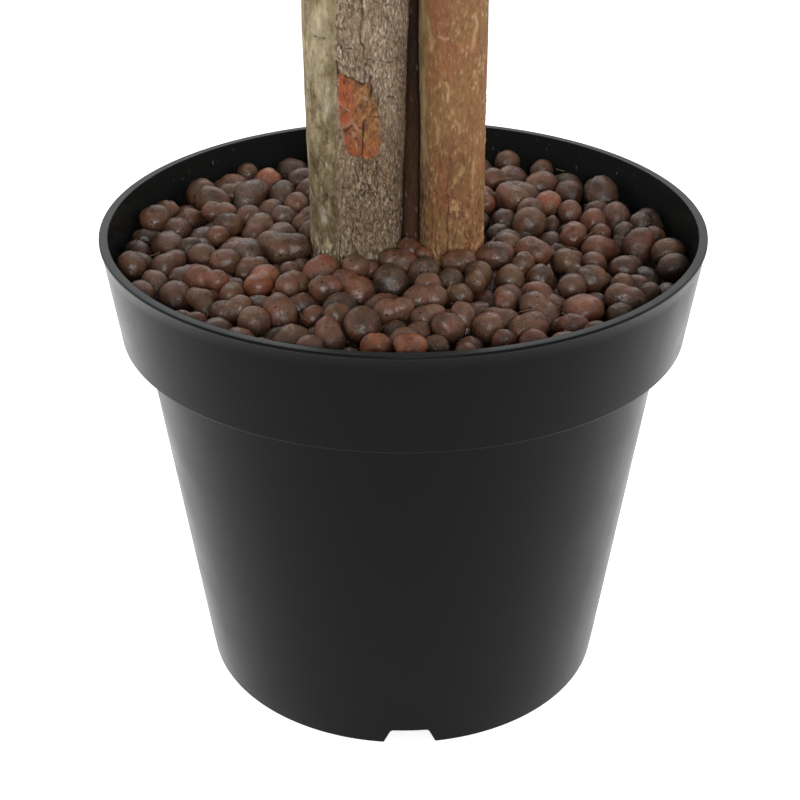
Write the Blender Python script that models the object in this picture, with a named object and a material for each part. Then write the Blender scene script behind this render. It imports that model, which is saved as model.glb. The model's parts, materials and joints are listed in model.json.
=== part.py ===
"""Standard ball-headed tree in a round nursery pot, ready made with two natural stems.

The pot stands on its foot ring with the origin at the middle of its underside and +Z up.
Two wooden trunks and one slim stem rise from a fill of clay pebbles. Each trunk ends at a
fork, and short boughs carry on from there into one clipped ball of foliage.
"""

import math
from dataclasses import dataclass

import bmesh
import bpy
from mathutils import Vector, noise

# ---------------------------------------------------------------- driving dimensions, metres
TREE_HEIGHT = 1.300
CLEARANCE = 0.0003  # between solids that touch

RIM_RADIUS = 0.1250
POT_HEIGHT = 0.2044
POT_WALL = 0.0022
FOOT_RADIUS = 0.0886
BODY_TOP_RADIUS = 0.1099
BAND_HEIGHT = 0.0428  # from the rim's top to the step under the band
BAND_FOOT_RADIUS = 0.1190
BAND_TOP_RADIUS = 0.1245
RIM_WIDTH = 0.0037  # of the rim's flat top face
RIM_EDGE = 0.0008  # height of the rim's upright outer edge
BASE_UNDERSIDE = 0.0082  # the floor of the pot stands clear of the ground
BASE_THICKNESS = 0.0023
FOOT_RING_WIDTH = 0.0040
POT_SEGMENTS = 64

NOTCH_COUNT = 4
NOTCH_TURN = math.radians(1.8)
NOTCH_FOOT_WIDTH = 0.0230
NOTCH_TOP_WIDTH = 0.0170
NOTCH_HEIGHT = 0.0079
DRAIN_COUNT = 8
DRAIN_RADIUS = 0.0050
DRAIN_RING_RADIUS = 0.0580

GROUND = 0.1900  # level of the pebbles' top, where the trunks are cut flat
PEBBLE_RELIEF = 0.0016
PEBBLE_RELIEF_LENGTH = 0.016
PEBBLE_TOP_RINGS = 10
SEAT_MARGIN = 0.013  # level ground kept round the trunks' feet

CROWN_DIAMETER = 0.520
CROWN_RELIEF = 0.0065
CROWN_RELIEF_LENGTH = 0.105
CROWN_SEGMENTS = 40
CROWN_RINGS = 24
HOLLOW_DEPTH = 0.018  # the ball is drawn up round the fork
HOLLOW_HALF_ANGLE = math.radians(17.5)

LIMB_SIDES = 14
BARK_DENT = 0.022  # share of the radius that a trunk's flats lie below its ridges


@dataclass(frozen=True)
class Limb:
    """A tapering limb along a gently bowed line.

    foot and tip are points on its centre line. bow is the sideways offset at mid length. The
    girth falls evenly from foot_radius to tip_radius, plus a swelling at one share of it.
    """

    name: str
    foot: tuple
    tip: tuple
    foot_radius: float
    tip_radius: float
    bow: tuple = (0.0, 0.0, 0.0)
    swelling: float = 0.0
    swelling_at: float = 0.0
    swelling_spread: float = 1.0
    dent: float = 0.0
    rings: int = 8
    sides: int = LIMB_SIDES

    def centre(self, share):
        """The point on the centre line at a share of the length."""
        straight = Vector(self.foot).lerp(Vector(self.tip), share)
        return straight + Vector(self.bow) * math.sin(math.pi * share)

    def radius(self, share):
        """The mean radius at a share of the length."""
        taper = self.foot_radius + (self.tip_radius - self.foot_radius) * share
        away = (share - self.swelling_at) / self.swelling_spread
        return taper + self.swelling * math.exp(-away * away)


TRUNK_LEFT = Limb(
    "trunk_left",
    foot=(-0.0199, 0.0, GROUND),
    tip=(-0.0165, -0.001, 0.745),
    foot_radius=0.0184,
    tip_radius=0.0150,
    bow=(0.0008, 0.0030, 0.0),
    swelling=0.0032,
    swelling_at=0.200,
    swelling_spread=0.130,
    dent=BARK_DENT,
    rings=20,
)
TRUNK_RIGHT = Limb(
    "trunk_right",
    foot=(0.0203, 0.0, GROUND),
    tip=(0.0180, 0.002, 0.738),
    foot_radius=0.0133,
    tip_radius=0.0104,
    bow=(-0.0002, -0.0030, 0.0),
    swelling=0.0011,
    swelling_at=0.250,
    swelling_spread=0.150,
    dent=BARK_DENT,
    rings=20,
)
SLIM_STEM = Limb(
    "slim_stem",
    foot=(0.0030, 0.0036, GROUND),
    tip=(0.0020, 0.0150, 0.852),
    foot_radius=0.0037,
    tip_radius=0.0030,
    bow=(0.0034, 0.0110, 0.0),
    rings=20,
    sides=10,
)

# Each trunk's first bough carries its line on from the fork. The others leave its side below.
LEADERS = (
    Limb("bough_left_leader", (-0.0165, -0.001, 0.745), (-0.040, -0.014, 0.850), 0.0138, 0.0090,
         bow=(0.002, 0.001, 0.0)),
    Limb("bough_right_leader", (0.0180, 0.002, 0.738), (0.038, 0.010, 0.850), 0.0096, 0.0066,
         bow=(-0.002, 0.0, 0.0)),
)
SIDE_BOUGHS = (
    Limb("bough_left_side", (-0.0170, 0.000, 0.706), (-0.080, 0.030, 0.838), 0.0085, 0.0056,
         bow=(-0.006, 0.003, 0.0)),
    Limb("bough_left_front", (-0.0168, -0.001, 0.716), (-0.030, -0.072, 0.838), 0.0080, 0.0052,
         bow=(-0.001, -0.006, 0.0)),
    Limb("bough_right_side", (0.0183, 0.001, 0.702), (0.078, -0.028, 0.838), 0.0068, 0.0046,
         bow=(0.006, -0.003, 0.0)),
    Limb("bough_right_back", (0.0182, 0.001, 0.714), (0.030, 0.072, 0.838), 0.0064, 0.0042,
         bow=(0.001, 0.006, 0.0)),
)
TRUNK_OF = {"left": TRUNK_LEFT, "right": TRUNK_RIGHT}
LEADER_OF = {"left": LEADERS[0], "right": LEADERS[1]}

# name: (base colour, roughness, metallic)
FINISHES = {
    "pot": ((0.012, 0.012, 0.013), 0.42, 0.0),
    "pebble_fill": ((0.150, 0.082, 0.062), 0.75, 0.0),
    "trunk_left": ((0.215, 0.170, 0.115), 0.85, 0.0),
    "trunk_right": ((0.235, 0.125, 0.060), 0.82, 0.0),
    "slim_stem": ((0.045, 0.026, 0.017), 0.60, 0.0),
    "bough": ((0.190, 0.130, 0.080), 0.85, 0.0),
    "foliage_ball": ((0.035, 0.085, 0.018), 0.50, 0.0),
}


# ---------------------------------------------------------------- helpers
def clear_scene():
    """Remove every object and material, so that the file can be run again."""
    for item in list(bpy.data.objects):
        bpy.data.objects.remove(item, do_unlink=True)
    for material in list(bpy.data.materials):
        bpy.data.materials.remove(material)


def finish_for(name):
    """Return the material for a piece, made the first time it is asked for."""
    title = name + "_finish"
    if title in bpy.data.materials:
        return bpy.data.materials[title]
    colour, roughness, metallic = FINISHES[name]
    material = bpy.data.materials.new(title)
    material.use_nodes = True
    shader = material.node_tree.nodes["Principled BSDF"]
    shader.inputs["Base Color"].default_value = (*colour, 1.0)
    shader.inputs["Roughness"].default_value = roughness
    shader.inputs["Metallic"].default_value = metallic
    return material


def add_object(name, body, material=None):
    """Make an object from a bmesh, with its faces turned outwards."""
    bmesh.ops.recalc_face_normals(body, faces=body.faces)
    mesh = bpy.data.meshes.new(name)
    body.to_mesh(mesh)
    body.free()
    mesh.shade_smooth()
    mesh.set_sharp_from_angle(angle=math.radians(35))
    if material:
        mesh.materials.append(material)
    item = bpy.data.objects.new(name, mesh)
    bpy.context.scene.collection.objects.link(item)
    return item


def hide_as_cutter(item):
    """Mark an object as a cutter, which is no piece of the model."""
    item.hide_render = True
    item.display_type = "WIRE"


def cut(item, cutter):
    """Take the cutter's volume out of an object."""
    step = item.modifiers.new("cut_" + cutter.name, "BOOLEAN")
    step.operation = "DIFFERENCE"
    step.solver = "EXACT"
    step.object = cutter


def bridge(body, lower, upper):
    """Join two rings of vertices with quads."""
    count = len(lower)
    for i in range(count):
        j = (i + 1) % count
        body.faces.new((lower[i], lower[j], upper[j], upper[i]))


def cap_with_fan(body, ring, centre):
    """Close a ring with triangles to a centre point."""
    pole = body.verts.new(centre)
    for i, vert in enumerate(ring):
        body.faces.new((vert, ring[(i + 1) % len(ring)], pole))


def turned_solid(profile, segments):
    """Spin a profile of (radius, height) points, from the axis below to the axis above."""
    body = bmesh.new()
    rings = []
    for radius, height in profile:
        ring = []
        for i in range(segments):
            angle = 2.0 * math.pi * i / segments
            ring.append(body.verts.new((radius * math.cos(angle), radius * math.sin(angle), height)))
        rings.append(ring)
    for lower, upper in zip(rings, rings[1:]):
        bridge(body, lower, upper)
    cap_with_fan(body, rings[0], (0.0, 0.0, profile[0][1]))
    cap_with_fan(body, rings[-1], (0.0, 0.0, profile[-1][1]))
    return body


# ---------------------------------------------------------------- pot
def body_radius(height):
    """Outer radius of the pot's tapered wall at a height."""
    return FOOT_RADIUS + (BODY_TOP_RADIUS - FOOT_RADIUS) * height / (POT_HEIGHT - BAND_HEIGHT)


def inner_profile(gap):
    """The pot's inside from its floor to the rim, pulled in by a gap."""
    floor = BASE_UNDERSIDE + BASE_THICKNESS + gap
    shelf = POT_HEIGHT - BAND_HEIGHT + POT_WALL + gap
    inset = POT_WALL + gap
    return [
        (body_radius(floor) - inset, floor),
        (BODY_TOP_RADIUS - inset, shelf),
        (BAND_FOOT_RADIUS - inset, shelf),
        (RIM_RADIUS - RIM_WIDTH - gap, POT_HEIGHT),
    ]


def build_pot():
    """Moulded pot: foot ring, raised floor, tapered wall, stepped band and flat-topped rim."""
    step = POT_HEIGHT - BAND_HEIGHT
    foot_inner = FOOT_RADIUS - FOOT_RING_WIDTH
    profile = [
        (foot_inner * 0.5, BASE_UNDERSIDE),
        (foot_inner - 0.001, BASE_UNDERSIDE),
        (foot_inner, 0.0),
        (FOOT_RADIUS, 0.0),
        (BODY_TOP_RADIUS, step),
        (BAND_FOOT_RADIUS, step),
        (BAND_TOP_RADIUS, POT_HEIGHT - 2.0 * RIM_EDGE),
        (RIM_RADIUS, POT_HEIGHT - RIM_EDGE),
        (RIM_RADIUS, POT_HEIGHT),
    ]
    inside = inner_profile(0.0)
    profile += list(reversed(inside))
    profile.append((inside[0][0] * 0.5, inside[0][1]))
    pot = add_object("pot", turned_solid(profile, POT_SEGMENTS), finish_for("pot"))
    for cutter in notch_cutters() + [drain_cutter()]:
        hide_as_cutter(cutter)
        cut(pot, cutter)


def notch_cutters():
    """Trapezoid blocks that open the foot ring towards each side."""
    cutters = []
    for index in range(NOTCH_COUNT):
        turn = NOTCH_TURN - math.pi / 2 + index * 2.0 * math.pi / NOTCH_COUNT
        out = Vector((math.cos(turn), math.sin(turn), 0.0))
        side = Vector((-math.sin(turn), math.cos(turn), 0.0))
        body = bmesh.new()
        rings = []
        for reach in (FOOT_RADIUS - 3.0 * FOOT_RING_WIDTH, FOOT_RADIUS + FOOT_RING_WIDTH):
            corners = (
                (-NOTCH_FOOT_WIDTH / 2, -NOTCH_HEIGHT * 0.2),
                (NOTCH_FOOT_WIDTH / 2, -NOTCH_HEIGHT * 0.2),
                (NOTCH_FOOT_WIDTH / 2, 0.0),
                (NOTCH_TOP_WIDTH / 2, NOTCH_HEIGHT),
                (-NOTCH_TOP_WIDTH / 2, NOTCH_HEIGHT),
                (-NOTCH_FOOT_WIDTH / 2, 0.0),
            )
            rings.append([body.verts.new(out * reach + side * x + Vector((0, 0, z))) for x, z in corners])
        bridge(body, rings[0], rings[1])
        body.faces.new(rings[0])
        body.faces.new(rings[1])
        cutters.append(add_object(f"notch_cutter_{index + 1}", body))
    return cutters


def drain_cutter():
    """One cutter that holds all the round drain holes of the floor."""
    body = bmesh.new()
    for index in range(DRAIN_COUNT):
        angle = 2.0 * math.pi * (index + 0.5) / DRAIN_COUNT
        middle = Vector((math.cos(angle), math.sin(angle), 0.0)) * DRAIN_RING_RADIUS
        rings = []
        for height in (BASE_UNDERSIDE - BASE_THICKNESS, BASE_UNDERSIDE + 2.0 * BASE_THICKNESS):
            ring = []
            for corner in range(8):
                turn = 2.0 * math.pi * (corner + 0.5) / 8
                offset = Vector((math.cos(turn), math.sin(turn), 0.0)) * DRAIN_RADIUS
                ring.append(body.verts.new(middle + offset + Vector((0, 0, height))))
            rings.append(ring)
        bridge(body, rings[0], rings[1])
        body.faces.new(rings[0])
        body.faces.new(rings[1])
    return add_object("drain_cutter", body)


# ---------------------------------------------------------------- pebble fill
def ground_height(x, y):
    """Height of the pebbles' top, level round the stems and uneven elsewhere."""
    nearest = 1.0
    for limb in (TRUNK_LEFT, TRUNK_RIGHT, SLIM_STEM):
        distance = math.hypot(x - limb.foot[0], y - limb.foot[1]) - limb.foot_radius
        nearest = min(nearest, distance)
    blend = min(1.0, max(0.0, (nearest - SEAT_MARGIN) / SEAT_MARGIN))
    spot = Vector((x, y, 0.0)) / PEBBLE_RELIEF_LENGTH
    return GROUND - CLEARANCE + blend * PEBBLE_RELIEF * noise.noise(spot)


def build_pebble_fill():
    """The clay pebbles as one solid that follows the pot's inside, with an uneven top."""
    profile = [(radius, height) for radius, height in inner_profile(CLEARANCE)]
    floor = profile[0]
    shelf_outer, brim = profile[2], profile[3]
    share = (GROUND - CLEARANCE - shelf_outer[1]) / (brim[1] - shelf_outer[1])
    edge_radius = shelf_outer[0] + (brim[0] - shelf_outer[0]) * share
    body = turned_solid([(floor[0] * 0.5, floor[1])] + profile[:3] + [(edge_radius, GROUND)], POT_SEGMENTS)
    top_pole = max(body.verts, key=lambda vert: (vert.co.z, -vert.co.xy.length))
    bmesh.ops.delete(body, geom=[top_pole], context="VERTS")
    brim_ring = [vert for vert in body.verts if vert.co.z > GROUND - 0.001]
    last = sorted(brim_ring, key=lambda vert: math.atan2(vert.co.y, vert.co.x))
    for ring_index in range(1, PEBBLE_TOP_RINGS):
        radius = edge_radius * (1.0 - ring_index / PEBBLE_TOP_RINGS)
        ring = []
        for vert in last:
            angle = math.atan2(vert.co.y, vert.co.x)
            ring.append(body.verts.new((radius * math.cos(angle), radius * math.sin(angle), GROUND)))
        bridge(body, last, ring)
        last = ring
    cap_with_fan(body, last, (0.0, 0.0, GROUND))
    for vert in body.verts:
        if vert.co.z > GROUND - 0.001:
            vert.co.z = ground_height(vert.co.x, vert.co.y)
    add_object("pebble_fill", body, finish_for("pebble_fill"))


# ---------------------------------------------------------------- limbs
def limb_mesh(limb, grow=0.0, reach=0.0):
    """Skin a limb with rings square to its centre line.

    grow widens it all round and reach lengthens its tip, which makes a cutter of it.
    """
    body = bmesh.new()
    rings = []
    for index in range(limb.rings + 1):
        share = index / limb.rings
        middle = limb.centre(share)
        step = 0.5 / limb.rings
        along = (limb.centre(min(1.0, share + step)) - limb.centre(max(0.0, share - step))).normalized()
        if limb.foot[2] == GROUND and index == 0:
            along = Vector((0.0, 0.0, 1.0))
        if index == limb.rings:
            middle = middle + along * reach
        side = along.cross(Vector((0.0, 1.0, 0.0))).normalized()
        front = side.cross(along)
        ring = []
        for corner in range(limb.sides):
            turn = 2.0 * math.pi * corner / limb.sides
            ridge = 0.5 + 0.5 * math.sin(3.0 * turn + 9.0 * share)
            radius = limb.radius(share) * (1.0 - limb.dent * (1.0 - ridge)) + grow
            ring.append(body.verts.new(middle + (side * math.cos(turn) + front * math.sin(turn)) * radius))
        rings.append(ring)
    for lower, upper in zip(rings, rings[1:]):
        bridge(body, lower, upper)
    body.faces.new(rings[0])
    body.faces.new(rings[-1])
    return body


def build_limb(limb, finish):
    """Make a limb's own object."""
    return add_object(limb.name, limb_mesh(limb), finish_for(finish))


def limb_cutter(limb):
    """A cutter a clearance larger than a limb all round."""
    grow = CLEARANCE / math.cos(math.pi / limb.sides)
    cutter = add_object(limb.name + "_cutter", limb_mesh(limb, grow, CLEARANCE))
    hide_as_cutter(cutter)
    return cutter


def build_limbs():
    """Make trunks, stem and boughs, and trim each side bough to what it grows from."""
    build_limb(TRUNK_LEFT, "trunk_left")
    build_limb(TRUNK_RIGHT, "trunk_right")
    build_limb(SLIM_STEM, "slim_stem")
    trunk_cutters = {side: limb_cutter(trunk) for side, trunk in TRUNK_OF.items()}
    leader_cutters = {side: limb_cutter(leader) for side, leader in LEADER_OF.items()}
    for side, leader in LEADER_OF.items():
        cut(build_limb(leader, "bough"), trunk_cutters[side])
    cutters = list(leader_cutters.values())
    for bough in SIDE_BOUGHS:
        side = bough.name.split("_")[1]
        item = build_limb(bough, "bough")
        cut(item, trunk_cutters[side])
        cut(item, leader_cutters[side])
        cutters.append(limb_cutter(bough))
    cutters.append(limb_cutter(SLIM_STEM))
    return cutters


# ---------------------------------------------------------------- foliage
def crown_radius(direction):
    """Distance from the ball's middle to its surface in a direction, before it is trimmed."""
    lumps = noise.noise(direction * (CROWN_DIAMETER / 2 / CROWN_RELIEF_LENGTH) + Vector((3.1, 1.7, 0.4)))
    radius = CROWN_DIAMETER / 2 + CROWN_RELIEF * lumps
    from_below = math.acos(max(-1.0, min(1.0, -direction.z)))
    if from_below < HOLLOW_HALF_ANGLE:
        radius -= HOLLOW_DEPTH * (0.5 + 0.5 * math.cos(math.pi * from_below / HOLLOW_HALF_ANGLE))
    return radius


def build_foliage_ball(limb_cutters):
    """One clipped ball with an uneven face, drawn up round the fork and socketed for the boughs."""
    body = bmesh.new()
    rings = []
    for index in range(1, CROWN_RINGS):
        polar = math.pi * index / CROWN_RINGS
        ring = []
        for corner in range(CROWN_SEGMENTS):
            turn = 2.0 * math.pi * corner / CROWN_SEGMENTS
            flat = math.sin(polar)
            direction = Vector((flat * math.cos(turn), flat * math.sin(turn), -math.cos(polar)))
            ring.append(body.verts.new(direction * crown_radius(direction)))
        rings.append(ring)
    for lower, upper in zip(rings, rings[1:]):
        bridge(body, lower, upper)
    for ring, direction in ((rings[0], Vector((0, 0, -1))), (rings[-1], Vector((0, 0, 1)))):
        cap_with_fan(body, ring, direction * crown_radius(direction))
    trim_to_size(body)
    crown = add_object("foliage_ball", body, finish_for("foliage_ball"))
    for cutter in limb_cutters:
        cut(crown, cutter)


def trim_to_size(body):
    """Scale and centre the ball so that it measures the crown's diameter each way."""
    lows = [min(vert.co[axis] for vert in body.verts) for axis in range(3)]
    highs = [max(vert.co[axis] for vert in body.verts) for axis in range(3)]
    for vert in body.verts:
        for axis in range(3):
            share = (vert.co[axis] - lows[axis]) / (highs[axis] - lows[axis])
            vert.co[axis] = (share - 0.5) * CROWN_DIAMETER
        vert.co.z += TREE_HEIGHT - CROWN_DIAMETER / 2


def main():
    """Build every piece."""
    clear_scene()
    build_pot()
    build_pebble_fill()
    build_foliage_ball(build_limbs())


main()
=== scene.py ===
"""Standard ball-headed tree in a round nursery pot: its finishes and fine surfaces.

The pot, pebbles, stems and foliage each have a class that holds their sizes, builds their
meshes in the frame's metres and dresses them. Everything rides on the one body of the part.
"""

import json
import logging
import math
from dataclasses import dataclass, field
from enum import Enum
from itertools import product

import bmesh
import bpy
import numpy as np
from mathutils import Euler, Matrix, Vector

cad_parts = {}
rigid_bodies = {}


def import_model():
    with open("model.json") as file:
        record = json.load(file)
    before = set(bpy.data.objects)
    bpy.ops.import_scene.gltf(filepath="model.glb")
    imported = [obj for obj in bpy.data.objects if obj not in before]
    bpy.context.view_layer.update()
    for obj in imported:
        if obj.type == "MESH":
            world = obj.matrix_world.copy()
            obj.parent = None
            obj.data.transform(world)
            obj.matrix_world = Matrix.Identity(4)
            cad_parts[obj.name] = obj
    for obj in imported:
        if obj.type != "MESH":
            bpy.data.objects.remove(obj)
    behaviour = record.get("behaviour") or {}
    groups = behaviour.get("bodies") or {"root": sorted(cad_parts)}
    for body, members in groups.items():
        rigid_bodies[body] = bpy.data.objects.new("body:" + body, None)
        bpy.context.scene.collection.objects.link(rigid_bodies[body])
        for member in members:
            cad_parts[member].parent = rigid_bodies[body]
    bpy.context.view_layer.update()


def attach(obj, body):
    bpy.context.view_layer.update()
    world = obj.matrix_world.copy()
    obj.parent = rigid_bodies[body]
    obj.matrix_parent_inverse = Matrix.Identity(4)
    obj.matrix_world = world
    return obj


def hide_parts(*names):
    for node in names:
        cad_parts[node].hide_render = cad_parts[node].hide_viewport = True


LOG = logging.getLogger("standard_tree")
BODY = "root"
MM = 0.001
GOLDEN_TURN = math.pi * (3.0 - math.sqrt(5.0))

Array = np.ndarray
Piece = bpy.types.Object
Material = bpy.types.Material
Tree = bpy.types.NodeTree
Socket = bpy.types.NodeSocket

# ------------ sizes shared with the frame
GROUND = 0.1900  # level of the pebbles' top
POT_HEIGHT = 0.2044
RIM_RADIUS = 0.1250
CROWN_RADIUS = 0.260
CROWN_CENTRE = Vector((0.0, 0.0, 1.040))


# ------------ small tools
def linear(code: str) -> tuple[float, float, float, float]:
    """Turn an sRGB hex value such as "#33261b" into linear red, green, blue and an alpha of 1."""
    parts = [int(code[i : i + 2], 16) / 255.0 for i in (1, 3, 5)]
    return (*[p / 12.92 if p <= 0.04045 else ((p + 0.055) / 1.055) ** 2.4 for p in parts], 1.0)


def add_node(tree: Tree, kind: str, settings: dict | None = None,
             links: dict | None = None) -> bpy.types.Node:
    """Add a node, set its properties and inputs, and link its inputs.

    Args:
        tree: The shader or geometry tree.
        kind: The node's type name.
        settings: Property names, input names or input indices, with their values.
        links: Input names or indices, with the sockets that feed them.

    Returns:
        The new node.
    """
    node = tree.nodes.new(kind)
    for key, value in (settings or {}).items():
        if isinstance(key, str) and hasattr(node, key):
            setattr(node, key, value)
        else:
            node.inputs[key].default_value = value
    for key, socket in (links or {}).items():
        tree.links.new(socket, node.inputs[key])
    return node


def ease(low: float, high: float, value: Array) -> Array:
    """Rise smoothly from 0 at low to 1 at high, for arrays. low may be the larger one."""
    share = np.clip((value - low) / (high - low), 0.0, 1.0)
    return share * share * (3.0 - 2.0 * share)


@dataclass
class Grain:
    """Seeded gradient noise and cell patterns, evaluated for whole arrays of points."""

    seed: int

    def __post_init__(self) -> None:
        """Draw the tables."""
        rng = np.random.default_rng(self.seed)
        self.order = np.tile(rng.permutation(256), 2)
        slopes = rng.normal(size=(256, 3))
        self.slopes = slopes / np.linalg.norm(slopes, axis=1, keepdims=True)
        self.jitter = rng.random((256, 3))

    def smooth(self, points: Array, size: tuple | float) -> Array:
        """Gradient noise of about -1 to 1.

        Args:
            points: An array of shape (n, 3).
            size: The size of a bump, one number or one for each axis.

        Returns:
            One value for each point.
        """
        spots = points / np.asarray(size, dtype=float)
        cell = np.floor(spots).astype(np.int64)
        inside = spots - cell
        fade = inside**3 * (inside * (inside * 6.0 - 15.0) + 10.0)
        total = np.zeros(len(points))
        for corner in product((0, 1), repeat=3):
            offset = np.array(corner)
            key = (cell + offset) & 255
            slope = self.slopes[self.order[self.order[self.order[key[:, 0]] + key[:, 1]] + key[:, 2]]]
            weight = np.prod(np.where(offset == 1, fade, 1.0 - fade), axis=1)
            total += weight * np.einsum("ij,ij->i", slope, inside - offset)
        return total * 1.7

    def layered(self, points: Array, size: tuple | float, layers: int = 3) -> Array:
        """Noise with finer and weaker layers added."""
        size = np.asarray(size, dtype=float)
        return sum(self.smooth(points + 7.3 * k, size / 2**k) / 2**k for k in range(layers))

    def cells(self, across: Array, along: Array, wrap: int) -> tuple[Array, Array]:
        """Irregular cells on a surface that joins up after a whole number of cells.

        Args:
            across: Position round the surface, in cells.
            along: Position along it, in cells.
            wrap: How many cells go round.

        Returns:
            The gap to the nearest cell border, and a tone from 0 to 1 for each cell.
        """
        column, row = np.floor(across).astype(np.int64), np.floor(along).astype(np.int64)
        first = np.full(across.shape, 9.0)
        second = np.full(across.shape, 9.0)
        tone = np.zeros(across.shape)
        for dc, dr in product((-1, 0, 1), repeat=2):
            key = self.order[self.order[(column + dc) % wrap & 255] + ((row + dr) & 255)]
            spot = self.jitter[key]
            away = np.hypot(column + dc + spot[:, 0] - across, row + dr + spot[:, 1] - along)
            nearer = away < first
            second = np.where(nearer, first, np.minimum(second, away))
            tone = np.where(nearer, spot[:, 2], tone)
            first = np.where(nearer, away, first)
        return second - first, tone


def distance_to_line(u: Array, v: Array, points: list) -> Array:
    """Measure how far positions are from a line.

    Args:
        u: Their first coordinates.
        v: Their second ones.
        points: The line's points, as (u, v).

    Returns:
        The distances.
    """
    best = np.full(u.shape, 1e9)
    for (ax, ay), (bx, by) in zip(points, points[1:]):
        dx, dy = bx - ax, by - ay
        share = np.clip(((u - ax) * dx + (v - ay) * dy) / (dx * dx + dy * dy), 0.0, 1.0)
        best = np.minimum(best, np.hypot(u - ax - share * dx, v - ay - share * dy))
    return best


def signed_distance(u: Array, v: Array, outline: list) -> Array:
    """Measure how far positions are from a closed outline.

    Args:
        u: Their first coordinates.
        v: Their second ones.
        outline: Its corners, as (u, v).

    Returns:
        The distances, negative inside.
    """
    inside = np.zeros(u.shape, dtype=bool)
    for (ax, ay), (bx, by) in zip(outline, outline[1:] + outline[:1]):
        crosses = (ay > v) != (by > v)
        level = np.where(by == ay, 1e-9, by - ay)
        inside ^= crosses & (u < (bx - ax) * (v - ay) / level + ax)
    away = distance_to_line(u, v, outline + outline[:1])
    return np.where(inside, -away, away)


@dataclass
class Heap:
    """Many small tubes gathered into one mesh."""

    tubes: list = field(default_factory=list)

    def add_tube(self, line: Array, radii: Array, sides: int) -> None:
        """Add a round tube along a line of points, closed at both ends."""
        self.tubes.append(close_ends(*tube_grid(line, radii, sides), sides, {})[:2])

    def build(self, name: str, finish: Material) -> Piece:
        """Make one piece of the tubes, with the bark's named numbers all nought.

        Args:
            name: The piece's name.
            finish: Its material.

        Returns:
            The piece.
        """
        *starts, count = np.cumsum([0, *(len(points) for points, _ in self.tubes)])
        faces = np.concatenate([faces + start for (_, faces), start in zip(self.tubes, starts)])
        values = {title: np.zeros(count) for title in ("strip", "wound", "fissure", "fleck", "across", "low")}
        return mesh_object(name, np.concatenate([points for points, _ in self.tubes]), faces, finish, values)


def tube_grid(line: Array, radii: Array, sides: int) -> tuple[Array, Array]:
    """Rings of points round a line, with quads between them and a point at each end.

    Args:
        line: Points of the centre line.
        radii: The radius at each point.
        sides: Points round each ring.

    Returns:
        The points and the faces.
    """
    along = np.gradient(line, axis=0)
    along /= np.linalg.norm(along, axis=1, keepdims=True)
    steady = np.array([0.31, 0.95, 0.05]) if abs(along[0][2]) > 0.5 else np.array([0.05, 0.1, 0.99])
    side = np.cross(along, steady)
    side /= np.linalg.norm(side, axis=1, keepdims=True)
    front = np.cross(side, along)
    turns = 2.0 * math.pi * np.arange(sides) / sides
    ring = np.cos(turns)[None, :, None] * side[:, None, :] + np.sin(turns)[None, :, None] * front[:, None, :]
    points = (line[:, None, :] + ring * np.asarray(radii)[:, None, None]).reshape(-1, 3)
    return points, grid_faces(len(line), sides)


def grid_faces(rows: int, columns: int) -> Array:
    """List the quads of a grid that closes round its columns.

    Args:
        rows: How many rings it has.
        columns: Points round each ring.

    Returns:
        The faces, which point outwards on a tube_grid.
    """
    row, column = np.meshgrid(np.arange(rows - 1), np.arange(columns), indexing="ij")
    after = (column + 1) % columns
    corners = (row * columns + column, (row + 1) * columns + column,
               (row + 1) * columns + after, row * columns + after)
    return np.stack(corners, axis=-1).reshape(-1, 4)


def close_ends(points: Array, faces: Array, columns: int, values: dict, flip: bool = False) -> tuple:
    """Close both ends of a tube with a point in the middle and a fan of triangles to it.

    Args:
        points: The tube's points, ring after ring.
        faces: Its quads.
        columns: Points round each ring.
        values: Named numbers, one for each point.
        flip: Whether the quads are wound the other way round.

    Returns:
        The points, faces and values with the ends added.
    """
    first = np.arange(columns)
    after = (first + 1) % columns
    if flip:
        first, after = after, first
    base, pole = len(points) - columns, np.full(columns, len(points))
    low = np.stack([first, after, pole, pole], axis=1)
    high = np.stack([base + after, base + first, pole + 1, pole + 1], axis=1)
    points = np.vstack([points, points[:columns].mean(axis=0), points[base:].mean(axis=0)])
    values = {title: np.append(data, [data[0], data[-1]]) for title, data in values.items()}
    return points, np.vstack([faces, low, high]), values


def lift_off(points: Array, line: Array, sides: int, lift: Array) -> Array:
    """Move a tube's points straight out from its line by a lift in millimetres."""
    outward = points - np.repeat(line, sides, axis=0)
    return points + outward / np.linalg.norm(outward, axis=1, keepdims=True) * (lift * MM)[:, None]


def name_values(mesh: bpy.types.Mesh, values: dict) -> None:
    """Give a mesh's vertices the numbers that its material reads under each name."""
    for title, data in values.items():
        mesh.attributes.new(title, "FLOAT", "POINT").data.foreach_set("value", np.asarray(data, dtype=np.float32))


def new_piece(mesh: bpy.types.Mesh, finish: Material | None, values: dict | None = None) -> Piece:
    """Make an object of a mesh, shaded smooth.

    Args:
        mesh: The mesh, whose name the piece takes.
        finish: Its material.
        values: Its named numbers.

    Returns:
        The object, linked to the scene.
    """
    name_values(mesh, values or {})
    if finish:
        mesh.materials.append(finish)
    mesh.shade_smooth()
    piece = bpy.data.objects.new(mesh.name, mesh)
    bpy.context.scene.collection.objects.link(piece)
    return piece


def mesh_object(name: str, points: Array, faces: Array, finish: Material,
                values: dict | None = None) -> Piece:
    """Make an object from arrays.

    Args:
        name: The piece's name.
        points: Vertex positions in metres.
        faces: Quads as vertex indices. A repeated last index makes a triangle.
        finish: Its material.
        values: Its named numbers.

    Returns:
        The object.
    """
    mesh = bpy.data.meshes.new(name)
    quads = [tuple(f) if f[3] != f[2] else tuple(f[:3]) for f in faces.tolist()]
    mesh.from_pydata(points.tolist(), [], quads)
    return new_piece(mesh, finish, values)


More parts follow.
